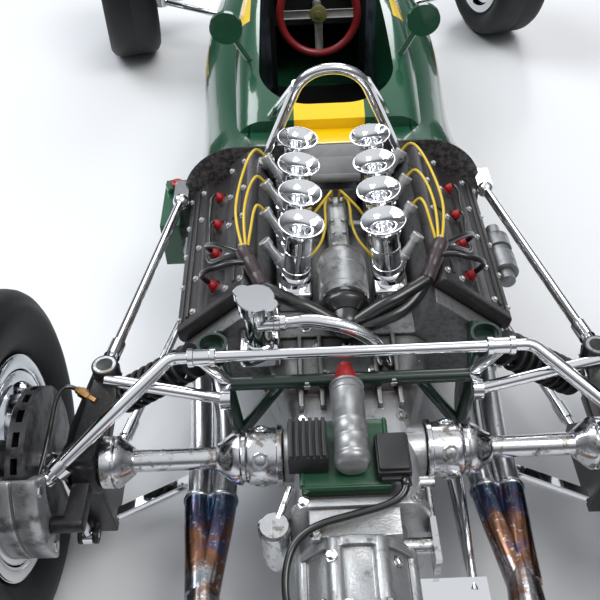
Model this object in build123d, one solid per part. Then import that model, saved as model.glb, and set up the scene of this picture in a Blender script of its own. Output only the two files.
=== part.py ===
from build123d import *
import math
import os

# A 1:12 display model of a cigar-bodied single-seater with an open V8.
# X points to the driver's right, Y forward, Z up from the ground.
# While building, Y = 0 is the rear axle; at export the parts move so that
# the origin lies under the middle of the whole car.

# Stance and wheels
wheelbase = 201.0
track_front = 127.0
track_rear = 129.0
front_tyre_radius = 25.4
front_tyre_width = 17.0
rear_tyre_radius = 28.4
rear_tyre_width = 27.0
tread_shoulder = 2.4
bulge_share = 0.56
rim_bead_radius = 15.9
rim_lip_radius = 17.8
rim_wall = 1.0
front_rim_width = 14.0
rear_rim_width = 23.0
spoke_count = 6
spoke_width = 4.2
spoke_thickness = 2.0
spoke_root = 0.5
hub_radius = 4.2
hub_depth = 3.0
hub_nose = 2.4
front_dish = 1.0
rear_dish = 1.5

# Running fits and seats
running_fit = 0.05
seat_gap = 0.3

# Brakes
front_disc_thickness = 1.8
front_disc_radius = 11.0
front_disc_inboard = track_front / 2 - front_rim_width / 2 - 0.1
rear_disc_radius = 12.6
rear_disc_plate = 0.8
rear_disc_vent = 1.0
rear_disc_inboard = track_rear / 2 - rear_rim_width / 2 - 4.4
vent_slot_count = 20
vent_slot_width = 2.3
vent_slot_depth = 3.4
caliper_bridge = 1.2
caliper_gap = 0.5
caliper_outer_width = 2.6
caliper_inner_radius = 9.6
caliper_low_angle = -28.0
caliper_high_angle = 46.0

# Steering geometry; positive angles turn to the driver's left
steer_rest = 13.0
kingpin_x = track_front / 2 - 11.5
kingpin_radius = 1.0
kingpin_eye_radius = 2.3
kingpin_eye_height = 2.6
kingpin_top = front_tyre_radius + 10.8
kingpin_bottom = front_tyre_radius - 11.4
stub_axle_radius = 1.5
knuckle_boss_radius = 3.2
caliper_arm_height = 3.2
steering_arm = 9.0
rack_rod_radius = 1.1
rack_housing_radius = 2.2
rack_housing_half = 23.0
track_rod_eye_radius = 1.9
track_rod_eye_height = 1.6
arm_pin_radius = 0.5
arm_pin_clearance = 0.5
arm_thickness = 1.6
arm_width = 2.6

# Body shell; the stations run forward from the bulkhead behind the driver
engine_rear_y = 20.5
engine_length = 44.0
engine_front_y = engine_rear_y + engine_length
bulkhead_y = engine_front_y + 1.5
nose_joint_y = wheelbase + 23.0
nose_tip_y = wheelbase + 71.0
body_sections = (
    # station, half_width, underside, top, corner
    (bulkhead_y, 31.7, 9.0, 43.0, 12.5),
    (wheelbase - 73.0, 30.5, 8.5, 42.0, 12.5),
    (wheelbase - 31.0, 26.5, 8.5, 41.0, 12.5),
    (wheelbase, 21.5, 9.5, 38.5, 12.0),
    (wheelbase + 39.0, 18.0, 11.5, 35.5, 10.5),
    (nose_tip_y, 13.2, 15.0, 32.0, 7.8),
)

# Cockpit
cockpit_half_width = 14.8
cockpit_rear_y = bulkhead_y + 12.0
cockpit_front_y = wheelbase - 54.0
cockpit_corner = 11.0
cockpit_floor = 11.0
footwell_half_width = 12.0
footwell_rise = 1.5
footwell_front_y = wheelbase + 14.0
footwell_front_top = 29.0
footwell_rear_top = 39.5
surround_base = 26.0
surround_corner = 6.0
surround_sections = (
    # station, half_width, top
    (cockpit_rear_y - 4.0, 20.2, 44.0),
    (cockpit_rear_y + 14.0, 20.6, 48.2),
    (cockpit_front_y - 15.0, 20.4, 47.8),
    (cockpit_front_y + 9.0, 17.5, 45.0),
    (cockpit_front_y + 35.0, 13.0, 39.4),
)
seat_half_width = 13.6
seat_back_top = 37.0
seat_cushion_top = cockpit_floor + 4.0
seat_back_thickness = 3.0
seat_bolster = 2.0
seat_front_y = cockpit_front_y - 25.0
dash_y = cockpit_front_y + 0.5
dash_thickness = 1.4
dash_bottom = 30.0
screen_height = 8.5
screen_thickness = 0.7
screen_half_width = 16.6
screen_rear_y = cockpit_front_y - 10.0
screen_front_y = cockpit_front_y + 8.0
mirror_radius = 3.6
mirror_thickness = 2.2
mirror_x = 21.5
mirror_y = cockpit_rear_y + 14.5
mirror_z = 56.0
mirror_foot_x = 17.0
mirror_stalk_radius = 0.7

# Steering wheel and column
steering_wheel_radius = 11.3
steering_rim_radius = 0.85
steering_wheel_y = cockpit_front_y - 14.5
steering_wheel_z = 40.0
steering_hub_radius = 2.4
steering_hub_height = 1.8
steering_spoke_width = 2.4
steering_spoke_thickness = 0.7
steering_spoke_count = 3
column_tilt = 12.5
column_radius = 1.0
pinion_radius = 2.0
pinion_length = 3.0

# Roll hoop
hoop_tube_radius = 1.05
hoop_foot_half_width = 14.0
hoop_top_half_width = 5.2
hoop_bend = 7.5
hoop_y = bulkhead_y - 1.0
hoop_foot_z = 40.0
hoop_top_z = 61.4
hoop_stay_z = 57.5
hoop_stay_x = 6.8
hoop_stay_radius = 0.85
hoop_stay_foot_x = 13.2
hoop_stay_foot_y = bulkhead_y + 11.5
hoop_stay_foot_z = 42.0
hoop_plinth_width = 4.4
hoop_plinth_height = 4.0

# Nose duct and radiator
duct_wall = 1.4
radiator_y = wheelbase + 45.0
radiator_thickness = 3.0
duct_rear_y = wheelbase + 31.0

# Engine
sump_bottom = 9.5
sump_half_width = 9.0
crankcase_half_width = 15.0
crankcase_top = 20.0
head_outer_x = 28.3
head_outer_z = 30.2
head_inner_x = 15.2
head_inner_z = 41.2
head_lower_x = 24.5
head_lower_z = 24.0
valley_half_width = 12.0
valley_floor = 34.0
cover_setback = 3.5
cover_overhang = 0.6
cover_rim = 1.1
cover_ridge_height = 2.7
cover_ridge_share = 0.36
cover_chamfer = 0.9
cover_cap_length = 1.6
plug_well_radius = 1.7
plug_well_height = 1.7
plug_well_bore = 1.1
plug_well_depth = 1.2
cylinder_pitch = 8.667
first_cylinder_offset = 10.4
cylinders_per_bank = 4

# Inlet trumpets
trumpet_base_x = 8.4
trumpet_top_x = 6.85
trumpet_top_z = 50.7
bell_radius = 3.9
bell_lip = 0.35
bell_depth = 3.4
trumpet_neck_radius = 2.2
trumpet_base_radius = 2.9
trumpet_base_height = 1.6
throttle_rail_height = 4.2
throttle_rail_inner = 5.4
throttle_rail_outer = 11.5
throttle_shaft_radius = 0.7
nozzle_radius = 0.85
nozzle_collar_radius = 1.15
nozzle_collar_length = 1.3
nozzle_bore_radius = 0.7
nozzle_reach = 4.0
nozzle_lean = 2.2
nozzle_rise = 5.6

# Valley fittings
distributor_radius = 4.5
distributor_rear_y = 19.8
distributor_length = 3.6
distributor_dome = 1.2
metering_unit_length = 12.4
metering_unit_nose_radius = 3.4
metering_unit_barrel_share = 0.84
valley_fitting_z = valley_floor + distributor_radius + running_fit
pedestal_half_width = 1.9
pedestal_top = 40.0
front_plate_half_width = 4.6
front_plate_top = 38.4
front_plate_length = 9.5

# Exhaust
primary_radius = 1.7
primary_port_z = 26.0
primary_outer_x = 29.2
primary_run_z = 19.4
primary_bend = 2.2
primary_step = 1.5
collector_y = 12.0
exhaust_wall = 0.6
exhaust_bore_depth = 9.0
exhaust_sections = (
    # station, x, z, radius
    (collector_y, 24.6, 16.9, 3.5),
    (-8.0, 23.3, 19.6, 3.6),
    (-30.0, 22.2, 24.0, 4.5),
    (-58.0, 21.2, 27.4, 5.6),
    (-62.5, 21.0, 27.8, 5.0),
)

# Gearbox
bellhousing_half_width = 14.5
bellhousing_height = 21.0
bellhousing_corner = 4.0
bellhousing_rib_height = 0.9
bellhousing_rib_width = 0.8
bellhousing_ribs = (-8.0, -4.6, 4.6, 8.0)
gearbox_half_width = 9.6
gearbox_front_y = 5.0
gearbox_split_y = -13.0
gearbox_bottom = 13.0
gearbox_top = 33.0
gearbox_corner = 3.0
split_flange_rim = 0.8
split_flange_thickness = 1.4
cluster_x = -0.9
cluster_z = 24.6
cluster_radius = 8.2
cluster_saddle_half_width = 6.6
cluster_saddle_length = 4.4
cluster_flange_radius = 9.1
cluster_flange_thickness = 1.5
cluster_length = 11.0
cluster_boss_radius = 1.2
cluster_boss_count = 8
end_cover_radius = 6.8
end_cover_length = 5.0
end_cover_taper = 1.2
output_flange_radius = 4.2
output_flange_x = 11.2

# Driveshafts
shaft_tube_radius = 1.75
shaft_neck_radius = 2.4
shaft_flange_radius = 4.9
shaft_flange_thickness = 0.9
inner_joint_radius = 4.5
inner_joint_length = 5.0
joint_gap = 0.5
joint_cone_length = 3.6
outer_joint_radius = 4.2
outer_joint_length = 2.0
outer_cone_length = 2.4
rear_stub_radius = 2.0
upright_inner_x = rear_disc_inboard - 8.4
outer_joint_clearance = 0.25

# Rear frame
frame_tube_radius = 1.15
frame_brace_radius = 1.0
frame_top_z = gearbox_top + 2.2
frame_top_y = engine_rear_y - 11.0
frame_half_width = 20.0
frame_foot_half_width = 17.6
frame_foot_setback = 1.5
frame_brace_x = 11.0
frame_brace_z = 23.0
frame_bottom_z = gearbox_bottom - frame_tube_radius
frame_lug_x = 6.0
frame_lug_width = 2.2

# Electrical tray on the gearbox
tray_left = -10.8
tray_right = 8.2
tray_rear_y = -11.0
tray_front_y = 1.2
tray_thickness = 0.8
tray_standoff = 1.6
tray_z = gearbox_top + tray_standoff
tray_post_radius = 0.8
tray_post_inset = 2.6
coil_x = -0.9
coil_radius = 2.7
coil_rear_y = -9.4
coil_profile = (
    # distance from the rear end, share of the coil's radius
    (0.0, 0.78),
    (0.7, 1.0),
    (2.6, 1.0),
    (2.6, 0.92),
    (3.2, 0.92),
    (3.2, 1.0),
    (6.6, 1.0),
    (6.6, 0.94),
    (7.2, 0.94),
    (7.2, 1.0),
    (15.2, 1.0),
)
coil_cap_profile = (
    # distance ahead of the coil's body, share of the coil's radius
    (0.0, 0.74),
    (1.6, 0.66),
    (1.6, 0.5),
    (4.2, 0.42),
)
box_gap = 0.6
box_margin = 0.4
left_box_front_y = -1.4
left_box_rear_y = -8.6
left_box_height = 4.6
left_box_fins = 6
left_box_fin_depth = 0.7
right_box_front_y = -3.0
right_box_rear_y = -10.4
right_box_height = 2.8

# Rear anti-roll bar; it clears the coil below it
roll_bar_radius = 0.95
roll_bar_clearance = 1.2
roll_bar_z = tray_z + tray_thickness + 2 * coil_radius + roll_bar_clearance + roll_bar_radius
roll_bar_y = frame_top_y - 1.0
collar_reach = 4.8
collar_x = upright_inner_x + collar_reach
bar_arm_span = 17.0
roll_bar_corner_x = collar_x - bar_arm_span
roll_bar_bend = 4.5
collar_y = -4.4
collar_z = 34.0
collar_radius = 2.15
collar_thickness = 1.6
bar_stub_length = 3.0
clamp_x = 23.1
clamp_length = 4.4
clamp_radius = 1.5
clamp_leg_radius = 1.05
drop_link_radius = 0.8
drop_link_foot_y = -3.6
drop_link_foot_z = 12.6
drop_link_eye_radius = 1.4
drop_link_eye_width = 1.6
drop_link_pin_radius = 0.5
fork_cheek = 0.9

# Rear uprights and links
upright_outer_x = upright_inner_x + 5.8
upright_hub_outer_x = upright_inner_x + 3.8
upright_hub_radius = 4.8
upright_nose_radius = 3.1
upright_top_x = upright_inner_x - 1.7
upright_top_y = 9.0
upright_top_z = 40.0
upright_boss_radius = 2.1
upright_boss_height = 3.4
upright_foot_z = 12.0
upright_foot_half_height = 1.6
upright_foot_front_y = 15.0
upright_foot_rear_y = -1.6
upright_web_rear_y = -3.0
upright_web_inset = 0.25
damper_lug_half = 1.3
caliper_lug_radius = 2.6
link_radius = 0.95
link_eye_radius = 1.7
link_eye_width = 1.6
upper_link_y = 6.4
adjuster_radius = 1.3
adjuster_length = 3.4
lower_pivot_x = 18.5
lower_pivot_y = 12.0
lower_pivot_radius = 1.4
wishbone_depth = 2.0
wishbone_width = 1.5
wishbone_groove = 0.45
wishbone_flange = 0.45
radius_rod_front_y = bulkhead_y - 5.0
radius_rod_upper_x = 31.7
radius_rod_upper_z = 33.6
radius_rod_lower_x = 28.5
radius_rod_lower_z = 15.0
rod_bracket_half = 1.5
damper_top_x = 22.0
damper_top_y = frame_top_y + 3.7
damper_top_z = 41.0
damper_cup_radius = 2.5
damper_cup_wall = 0.5
damper_cup_height = 3.0
damper_foot_x = upright_inner_x + 1.8
damper_foot_y = 15.0
damper_foot_z = 24.4
damper_foot_eye_radius = 1.7
damper_rod_radius = 1.1
damper_tube_radius = 2.1
spring_radius = 3.1
spring_wire = 0.55
spring_coils = 8
spring_start = 0.2
spring_end = 0.8

# Front suspension
rocker_root_x = 16.0
rocker_root_z = 32.0
rocker_root_height = 4.6
rocker_root_depth = 6.0
rocker_tip_height = 2.2
rocker_tip_depth = 3.0
rocker_tip_setback = 1.2
wishbone_front_reach = 11.0
wishbone_rear_reach = 21.0
wishbone_front_x = 14.0
wishbone_rear_x = 18.0

# Tanks and side fittings
filler_x = -14.6
filler_y = 16.6
filler_cap_radius = 3.1
filler_cap_top = 47.6
filler_cap_height = 1.4
filler_ear_radius = 1.5
filler_ear_reach = 2.7
filler_flange_radius = 2.9
filler_neck_radius = 2.2
filler_neck_base = 36.0
filler_foot_half = 3.4
filler_outlet_z = 42.6
filler_outlet_radius = 1.35
filler_outlet_length = 2.4
filler_hose_radius = 1.15
catch_tank_outer_x = 36.2
catch_tank_inner_x = 26.0
catch_tank_step = 4.0
catch_tank_rear_y = bulkhead_y - 9.0
catch_tank_front_y = bulkhead_y + 7.0
catch_tank_bottom = 20.0
catch_tank_top = 30.6
catch_cap_radius = 1.7
catch_cap_height = 1.4
pump_x = 32.4
pump_z = 28.6
pump_rear_y = engine_front_y - 26.5
pump_profile = (
    # distance from the rear end, radius
    (0.0, 1.5),
    (2.4, 1.5),
    (2.4, 2.6),
    (7.0, 2.6),
    (7.0, 2.1),
    (9.0, 2.1),
    (9.0, 2.6),
    (12.4, 2.6),
    (12.4, 1.4),
    (16.0, 1.4),
)
pump_bracket_width = 6.0
pump_bracket_thickness = 2.4
canister_radius = 2.1
canister_y = -14.0
canister_low = 20.0
canister_high = 31.0
canister_rim = 0.35
canister_pipe_radius = 0.6
selector_x = gearbox_half_width + 1.0
selector_rod_radius = 0.5
selector_rod_z = 30.0
selector_front_y = -7.2
selector_lever_y = -16.4
selector_lever_length = 7.0
selector_lever_height = 4.4
selector_lever_thickness = 0.9
hanger_y = -23.0
hanger_outer_x = 17.4
hanger_z = 26.0
hanger_width = 4.0
hanger_thickness = 0.8
hanger_rod_radius = 0.65

# Ignition hoses, plug leads and fuel lines; the tables are for the right-hand side
sleeve_radius = 1.3
ignition_hose_radius = 1.0
plug_lead_radius = 0.45
fuel_line_radius = 0.3
sleeve_front = (17.25, 31.5, 45.1)
sleeve_rear = (13.8, 24.0, 42.9)
boot_profile = (
    # distance forward of its rear end, radius
    (0.0, 1.4),
    (1.0, 2.4),
    (3.2, 2.9),
)
plug_cap_profile = (
    # distance from the bottom of the plug well, radius
    (0.0, 0.95),
    (1.8, 0.95),
    (2.6, 0.65),
)
upper_hose_route = (
    sleeve_rear,
    (9.6, 20.9, 42.6),
    (5.0, 19.2, 41.6),
    (0.6, 17.8, 38.9),
)
lower_hose_route = (
    (14.9, 26.4, 43.6),
    (12.3, 21.4, 41.2),
    (6.4, 17.6, 40.0),
    (0.8, 17.6, 38.2),
)
rear_lead_route = (
    (23.74, 30.9, 38.07),
    (24.9, 30.6, 39.5),
    (24.4, 28.6, 42.6),
    (21.6, 27.4, 44.6),
    (18.3, 28.1, 45.3),
    (15.9, 28.6, 44.25),
)
second_lead_route = (
    (23.74, 39.57, 38.07),
    (24.7, 39.2, 39.5),
    (23.6, 36.9, 42.0),
    (20.8, 33.9, 43.9),
    (16.95, 30.6, 44.8),
)
outer_line_routes = (
    # from the nozzles of the second, third and fourth cylinders to the sleeve
    (
        (12.8, 41.4, 44.4),
        (14.4, 42.3, 46.7),
        (15.2, 39.5, 47.5),
        (15.7, 36.1, 46.3),
        (16.55, 31.2, 44.35),
    ),
    (
        (12.8, 50.1, 44.4),
        (14.4, 51.0, 46.7),
        (15.5, 48.4, 47.7),
        (16.7, 43.6, 47.4),
        (17.2, 37.2, 46.6),
        (16.6, 31.2, 45.2),
    ),
    (
        (12.8, 58.8, 44.4),
        (14.4, 59.7, 46.7),
        (15.8, 57.2, 48.0),
        (17.2, 51.4, 48.0),
        (18.5, 43.3, 47.2),
        (18.5, 36.9, 46.6),
        (17.2, 31.2, 45.8),
    ),
)
valley_line_routes = (
    # from the top of the pedestal down to the throttle rail
    (
        (1.4, 50.6, 40.0),
        (1.5, 50.2, 41.6),
        (2.4, 47.0, 42.3),
        (2.3, 41.4, 42.0),
        (3.2, 37.2, 41.2),
        (5.0, 35.0, 40.2),
        (6.2, 35.2, 38.2),
    ),
    (
        (0.7, 52.0, 40.0),
        (0.7, 51.6, 42.0),
        (1.2, 48.8, 43.4),
        (2.9, 46.2, 43.0),
        (4.9, 44.6, 41.2),
        (6.2, 43.9, 38.2),
    ),
)

front_axle_z = front_tyre_radius
rear_axle_z = rear_tyre_radius
rear_cylinder_y = engine_rear_y + first_cylinder_offset
last_cylinder_y = rear_cylinder_y + cylinder_pitch * (cylinders_per_bank - 1)
cover_rear_y = engine_rear_y + cover_setback
tray_top = tray_z + tray_thickness
filler_hose_route = (
    # the chrome hose from the filler's outlet over to the top of the bell housing
    (filler_x + filler_neck_radius + filler_outlet_length, filler_y - 1.0, filler_outlet_z),
    (-6.0, 15.4, 43.2),
    (0.5, 14.2, 42.4),
    (5.0, 13.4, 39.0),
    (6.4, 13.2, gearbox_top + 0.5),
)
parts = {}


def section_plane(y, x=0.0, z=0.0):
    """A plane across the car at one station, with its first axis to the right and second up."""
    return Plane(origin=(x, y, z), x_dir=(1, 0, 0), z_dir=(0, -1, 0))


def rod(start, end, radius):
    """A straight round bar between two points."""
    axis = Vector(*end) - Vector(*start)
    return extrude(Plane(origin=start, z_dir=axis) * Circle(radius), axis.length)


def between(start, end, share):
    """The point at a share of the way from one point to another."""
    return tuple(a + (b - a) * share for a, b in zip(start, end))


def i_beam(start, end):
    """A straight bar of I section between two points, standing upright."""
    axis = Vector(*end) - Vector(*start)
    across = axis.cross(Vector(0, 0, 1))
    bar = Rectangle(wishbone_width, wishbone_depth)
    groove = Rectangle(wishbone_groove, wishbone_depth - 2 * wishbone_flange)
    edge = (wishbone_width - wishbone_groove) / 2
    section = bar - Pos(edge, 0) * groove - Pos(-edge, 0) * groove
    return extrude(Plane(origin=start, x_dir=across, z_dir=axis) * section, axis.length)


def bent_tube(points, radius, bend):
    """A round tube along straight runs joined by tangent arcs."""
    path = FilletPolyline(*points, radius=bend)
    start = Vector(*points[0])
    direction = Vector(*points[1]) - start
    return sweep(Plane(origin=start, z_dir=direction) * Circle(radius), path=path)


def block(x_span, y_span, z_span):
    """A box from its low and high limits on each axis."""
    low = Vector(x_span[0], y_span[0], z_span[0])
    size = Vector(x_span[1], y_span[1], z_span[1]) - low
    return Pos(*(low + size * 0.5)) * Box(size.X, size.Y, size.Z)


def disc_x(x_low, x_high, y, z, radius):
    """A round disc or drum whose axis runs across the car."""
    return rod((x_low, y, z), (x_high, y, z), radius)


def turned(start, direction, profile):
    """A turned piece from a table of (distance along its axis, radius)."""
    length = profile[-1][0]
    outline = [(0, profile[0][0])] + [(radius, distance) for distance, radius in profile] + [(0, length)]
    face = Plane.XZ * make_face(Polyline(*outline, close=True))
    return Plane(origin=start, z_dir=direction) * revolve(face, Axis.Z, 360)


def profile_x(points, x_low, x_high):
    """A closed outline of (y, z) points, extruded across the car."""
    plane = Plane(origin=(x_low, 0, 0), x_dir=(0, 1, 0), z_dir=(1, 0, 0))
    return extrude(plane * make_face(Polyline(*points, close=True)), x_high - x_low)


def profile_y(points, y_low, y_high):
    """A closed outline of (x, z) points, extruded along the car."""
    face = section_plane(y_high) * make_face(Polyline(*points, close=True))
    return extrude(face, y_high - y_low)


def mirrored(points):
    """An outline of right-hand (x, z) points, closed by its left-hand image."""
    return list(points) + [(-x, z) for x, z in reversed(points) if x > 0]


def add_pair(name, right_shape):
    """Store a right-hand piece and its left-hand image as two nodes."""
    parts[name + "_right"] = right_shape
    parts[name + "_left"] = mirror(right_shape, Plane.YZ)


def both_sides(right_shape):
    """A right-hand piece and its left-hand image as one node of separate solids."""
    return Compound([right_shape, mirror(right_shape, Plane.YZ)])


def body_face(section, inset=0.0):
    """One cross-section of the body, or the same section a wall thickness smaller."""
    station, half_width, underside, top, corner = section
    plane = section_plane(station, z=(underside + top) / 2)
    width = 2 * (half_width - inset)
    height = top - underside - 2 * inset
    return plane * RectangleRounded(width, height, corner - inset)


def body_solid():
    """The whole outer form of the body, solid from the bulkhead to the nose."""
    return loft([body_face(section) for section in body_sections])


def body_slice(y_low, y_high):
    """A box across the whole body between two stations."""
    half = body_sections[0][1] + seat_gap
    return block((-half, half), (y_low, y_high), (0, body_sections[0][3] + seat_gap))


def cockpit_opening():
    """The space of the cockpit, open at the top, with the footwell ahead of it."""
    length = cockpit_front_y - cockpit_rear_y
    mid_y = (cockpit_front_y + cockpit_rear_y) / 2
    plan = Pos(0, mid_y, cockpit_floor) * RectangleRounded(2 * cockpit_half_width, length, cockpit_corner)
    well = extrude(plan, 2 * surround_sections[1][2])
    side = (
        (cockpit_front_y - cockpit_corner, cockpit_floor),
        (footwell_front_y, cockpit_floor + footwell_rise),
        (footwell_front_y, footwell_front_top),
        (cockpit_front_y, footwell_rear_top),
        (cockpit_front_y - cockpit_corner, footwell_rear_top),
    )
    return well + profile_x(side, -footwell_half_width, footwell_half_width)


def column_point(distance):
    """A point on the column's axis, ahead of the steering wheel by that distance."""
    tilt = math.radians(column_tilt)
    return (0, steering_wheel_y + distance * math.cos(tilt), steering_wheel_z - distance * math.sin(tilt))


def rack_line():
    """The pinion's distance down the column, and the height of the rack's axis."""
    distance = (wheelbase + steering_arm - steering_wheel_y) / math.cos(math.radians(column_tilt))
    pinion_z = column_point(distance)[2]
    return distance, pinion_z - pinion_radius - rack_rod_radius - running_fit


def body_shell():
    """The tub with its cockpit, and the nose with its air duct."""
    rack_y = wheelbase + steering_arm
    rack_z = rack_line()[1]
    outer = body_solid()
    tub = outer & body_slice(bulkhead_y, nose_joint_y)
    tub -= cockpit_opening()
    reach = body_sections[0][1]
    tub -= rod((-reach, rack_y, rack_z), (reach, rack_y, rack_z), rack_housing_radius + running_fit)
    parts["tub"] = tub

    nose = outer & body_slice(nose_joint_y, nose_tip_y + 1)
    throat, mouth = [body_face(section, duct_wall) for section in body_sections[-2:]]
    duct = loft([throat, mouth]) + extrude(throat, body_sections[-2][0] - duct_rear_y)
    parts["nose_cone"] = nose - duct
    parts["radiator"] = duct & body_slice(radiator_y, radiator_y + radiator_thickness)


def cockpit_pieces():
    """The raised surround, screen, seat and dash, fitted to the cockpit."""
    body = body_solid()
    surround = surround_solid()
    parts["cockpit_surround"] = surround - body - cockpit_opening()

    low = surround_sections[3][2] - screen_height / 2
    band = screen_form(0.0, low, 2 * screen_height) - screen_form(screen_thickness, low - 1, 2 * screen_height + 2)
    top_line = surround_sections[2][2]
    high = top_line + 3 * screen_height
    slope = screen_height / (screen_front_y - screen_rear_y)
    cut_rear_y = screen_rear_y - cockpit_corner
    cut_front_y = screen_front_y + cockpit_corner
    cut = profile_x(
        (
            (cut_rear_y, top_line - slope * cockpit_corner),
            (cut_front_y, top_line + screen_height + slope * cockpit_corner),
            (cut_front_y, high),
            (cut_rear_y, high),
        ),
        -2 * screen_half_width,
        2 * screen_half_width,
    )
    parts["windscreen"] = band - cut - body - surround

    back_y = cockpit_rear_y + cockpit_corner / 2
    seat_outline = (
        (back_y, seat_back_top),
        (back_y + seat_back_thickness, seat_back_top),
        (back_y + 6 * seat_back_thickness, seat_cushion_top + 1.2),
        (seat_front_y - seat_back_thickness, seat_cushion_top),
        (seat_front_y, seat_cushion_top - seat_bolster),
        (seat_front_y, cockpit_floor),
        (back_y, cockpit_floor),
    )
    parts["seat"] = profile_x(seat_outline, -seat_half_width, seat_half_width) & cockpit_opening()

    dash = block(
        (-footwell_half_width, footwell_half_width),
        (dash_y, dash_y + dash_thickness),
        (dash_bottom, footwell_rear_top),
    )
    dash &= cockpit_opening()
    dash -= rod(column_point(0), column_point(dash_y), column_radius + running_fit)
    parts["dash_panel"] = dash


def screen_form(inset, low, height):
    """The windscreen's plan, an arc closed by a straight line at the rear, raised to a block."""
    half = screen_half_width - inset
    rear_y = screen_rear_y - inset
    arc = ThreePointArc((half, rear_y), (0, screen_front_y - inset), (-half, rear_y))
    closing = Line((-half, rear_y), (half, rear_y))
    return extrude(Pos(0, 0, low) * make_face(closing + arc), height)


def mirrors():
    """A round mirror with a domed back on a stalk from the surround."""
    head = turned(
        (mirror_x, mirror_y, mirror_z),
        (0, 1, 0),
        ((0.0, mirror_radius), (mirror_thickness / 2, mirror_radius), (mirror_thickness, mirror_radius * 0.6)),
    )
    stalk = rod(
        (mirror_foot_x, mirror_y + mirror_thickness / 2, surround_sections[1][2] - seat_gap),
        (mirror_x, mirror_y + mirror_thickness / 2, mirror_z),
        mirror_stalk_radius,
    )
    parts["mirrors"] = both_sides(head + stalk - surround_solid())


def surround_solid():
    """The surround's outer form, before it is fitted to the body."""
    faces = []
    for station, half_width, top in surround_sections:
        plane = section_plane(station, z=(surround_base + top) / 2)
        faces.append(plane * RectangleRounded(2 * half_width, top - surround_base, surround_corner))
    return loft(faces)


def roll_hoop():
    """A tubular hoop behind the driver with two stays running forward to the body."""
    hoop = bent_tube(
        (
            (-hoop_foot_half_width, hoop_y, hoop_foot_z),
            (-hoop_top_half_width, hoop_y, hoop_top_z - hoop_tube_radius),
            (hoop_top_half_width, hoop_y, hoop_top_z - hoop_tube_radius),
            (hoop_foot_half_width, hoop_y, hoop_foot_z),
        ),
        hoop_tube_radius,
        hoop_bend,
    )
    half = hoop_plinth_width / 2
    for side in (-1, 1):
        top = (side * hoop_stay_x, hoop_y, hoop_stay_z)
        foot = (side * hoop_stay_foot_x, hoop_stay_foot_y, hoop_stay_foot_z)
        hoop += rod(top, foot, hoop_stay_radius)
        foot_x = side * hoop_foot_half_width
        hoop += block(
            (foot_x - half, foot_x + half),
            (engine_front_y, bulkhead_y),
            (hoop_foot_z - hoop_plinth_height, hoop_foot_z),
        )
        hoop += disc_x(foot_x - half, foot_x + half, hoop_y - hoop_tube_radius / 2, hoop_foot_z, 1.5 * hoop_tube_radius)
    parts["roll_hoop"] = hoop - body_solid() - surround_solid() - parts["engine_block"] - parts["cam_covers"]


def head_slope():
    """The direction of the right-hand cam cover's face, down and outward."""
    return Vector(head_outer_x - head_inner_x, 0, head_outer_z - head_inner_z)


def cover_plane(y):
    """The plane across the right-hand cam cover at one station."""
    origin = ((head_outer_x + head_inner_x) / 2, y, (head_outer_z + head_inner_z) / 2)
    return Plane(origin=origin, x_dir=head_slope(), z_dir=(0, -1, 0))


def cam_cover():
    """The right-hand cam cover: two long ridges with four plug wells between them."""
    half = head_slope().length / 2 + cover_overhang
    ridge = 2 * half * cover_ridge_share
    inner = half - ridge
    outline = []
    for low, high in ((-half, -inner), (inner, half)):
        outline += [
            (low, cover_rim),
            (low + cover_chamfer, cover_ridge_height),
            (high - cover_chamfer, cover_ridge_height),
            (high, cover_rim),
        ]
    outline += [(half, 0), (-half, 0)]
    section = make_face(Polyline(*outline, close=True))
    length = engine_front_y - cover_rear_y
    cover = extrude(cover_plane(engine_front_y) * section, length)
    rim = make_face(Polyline((-half, 0), (half, 0), (half, cover_rim), (-half, cover_rim), close=True))
    cover += extrude(cover_plane(engine_front_y) * rim, length)
    end_cap = Pos(0, cover_ridge_height / 2) * Rectangle(2 * half - 2 * cover_chamfer, cover_ridge_height)
    cover += extrude(cover_plane(cover_rear_y + cover_cap_length) * end_cap, cover_cap_length)
    outward = cover_plane(0).y_dir
    for index in range(cylinders_per_bank):
        foot = cover_plane(rear_cylinder_y + index * cylinder_pitch).origin
        well = ((0.0, plug_well_radius), (plug_well_height, plug_well_radius))
        bore = ((0.0, plug_well_bore), (plug_well_depth + 1, plug_well_bore))
        cover += turned(foot, outward, well)
        cover -= turned(foot + outward * (plug_well_height - plug_well_depth), outward, bore)
    return cover


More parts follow.
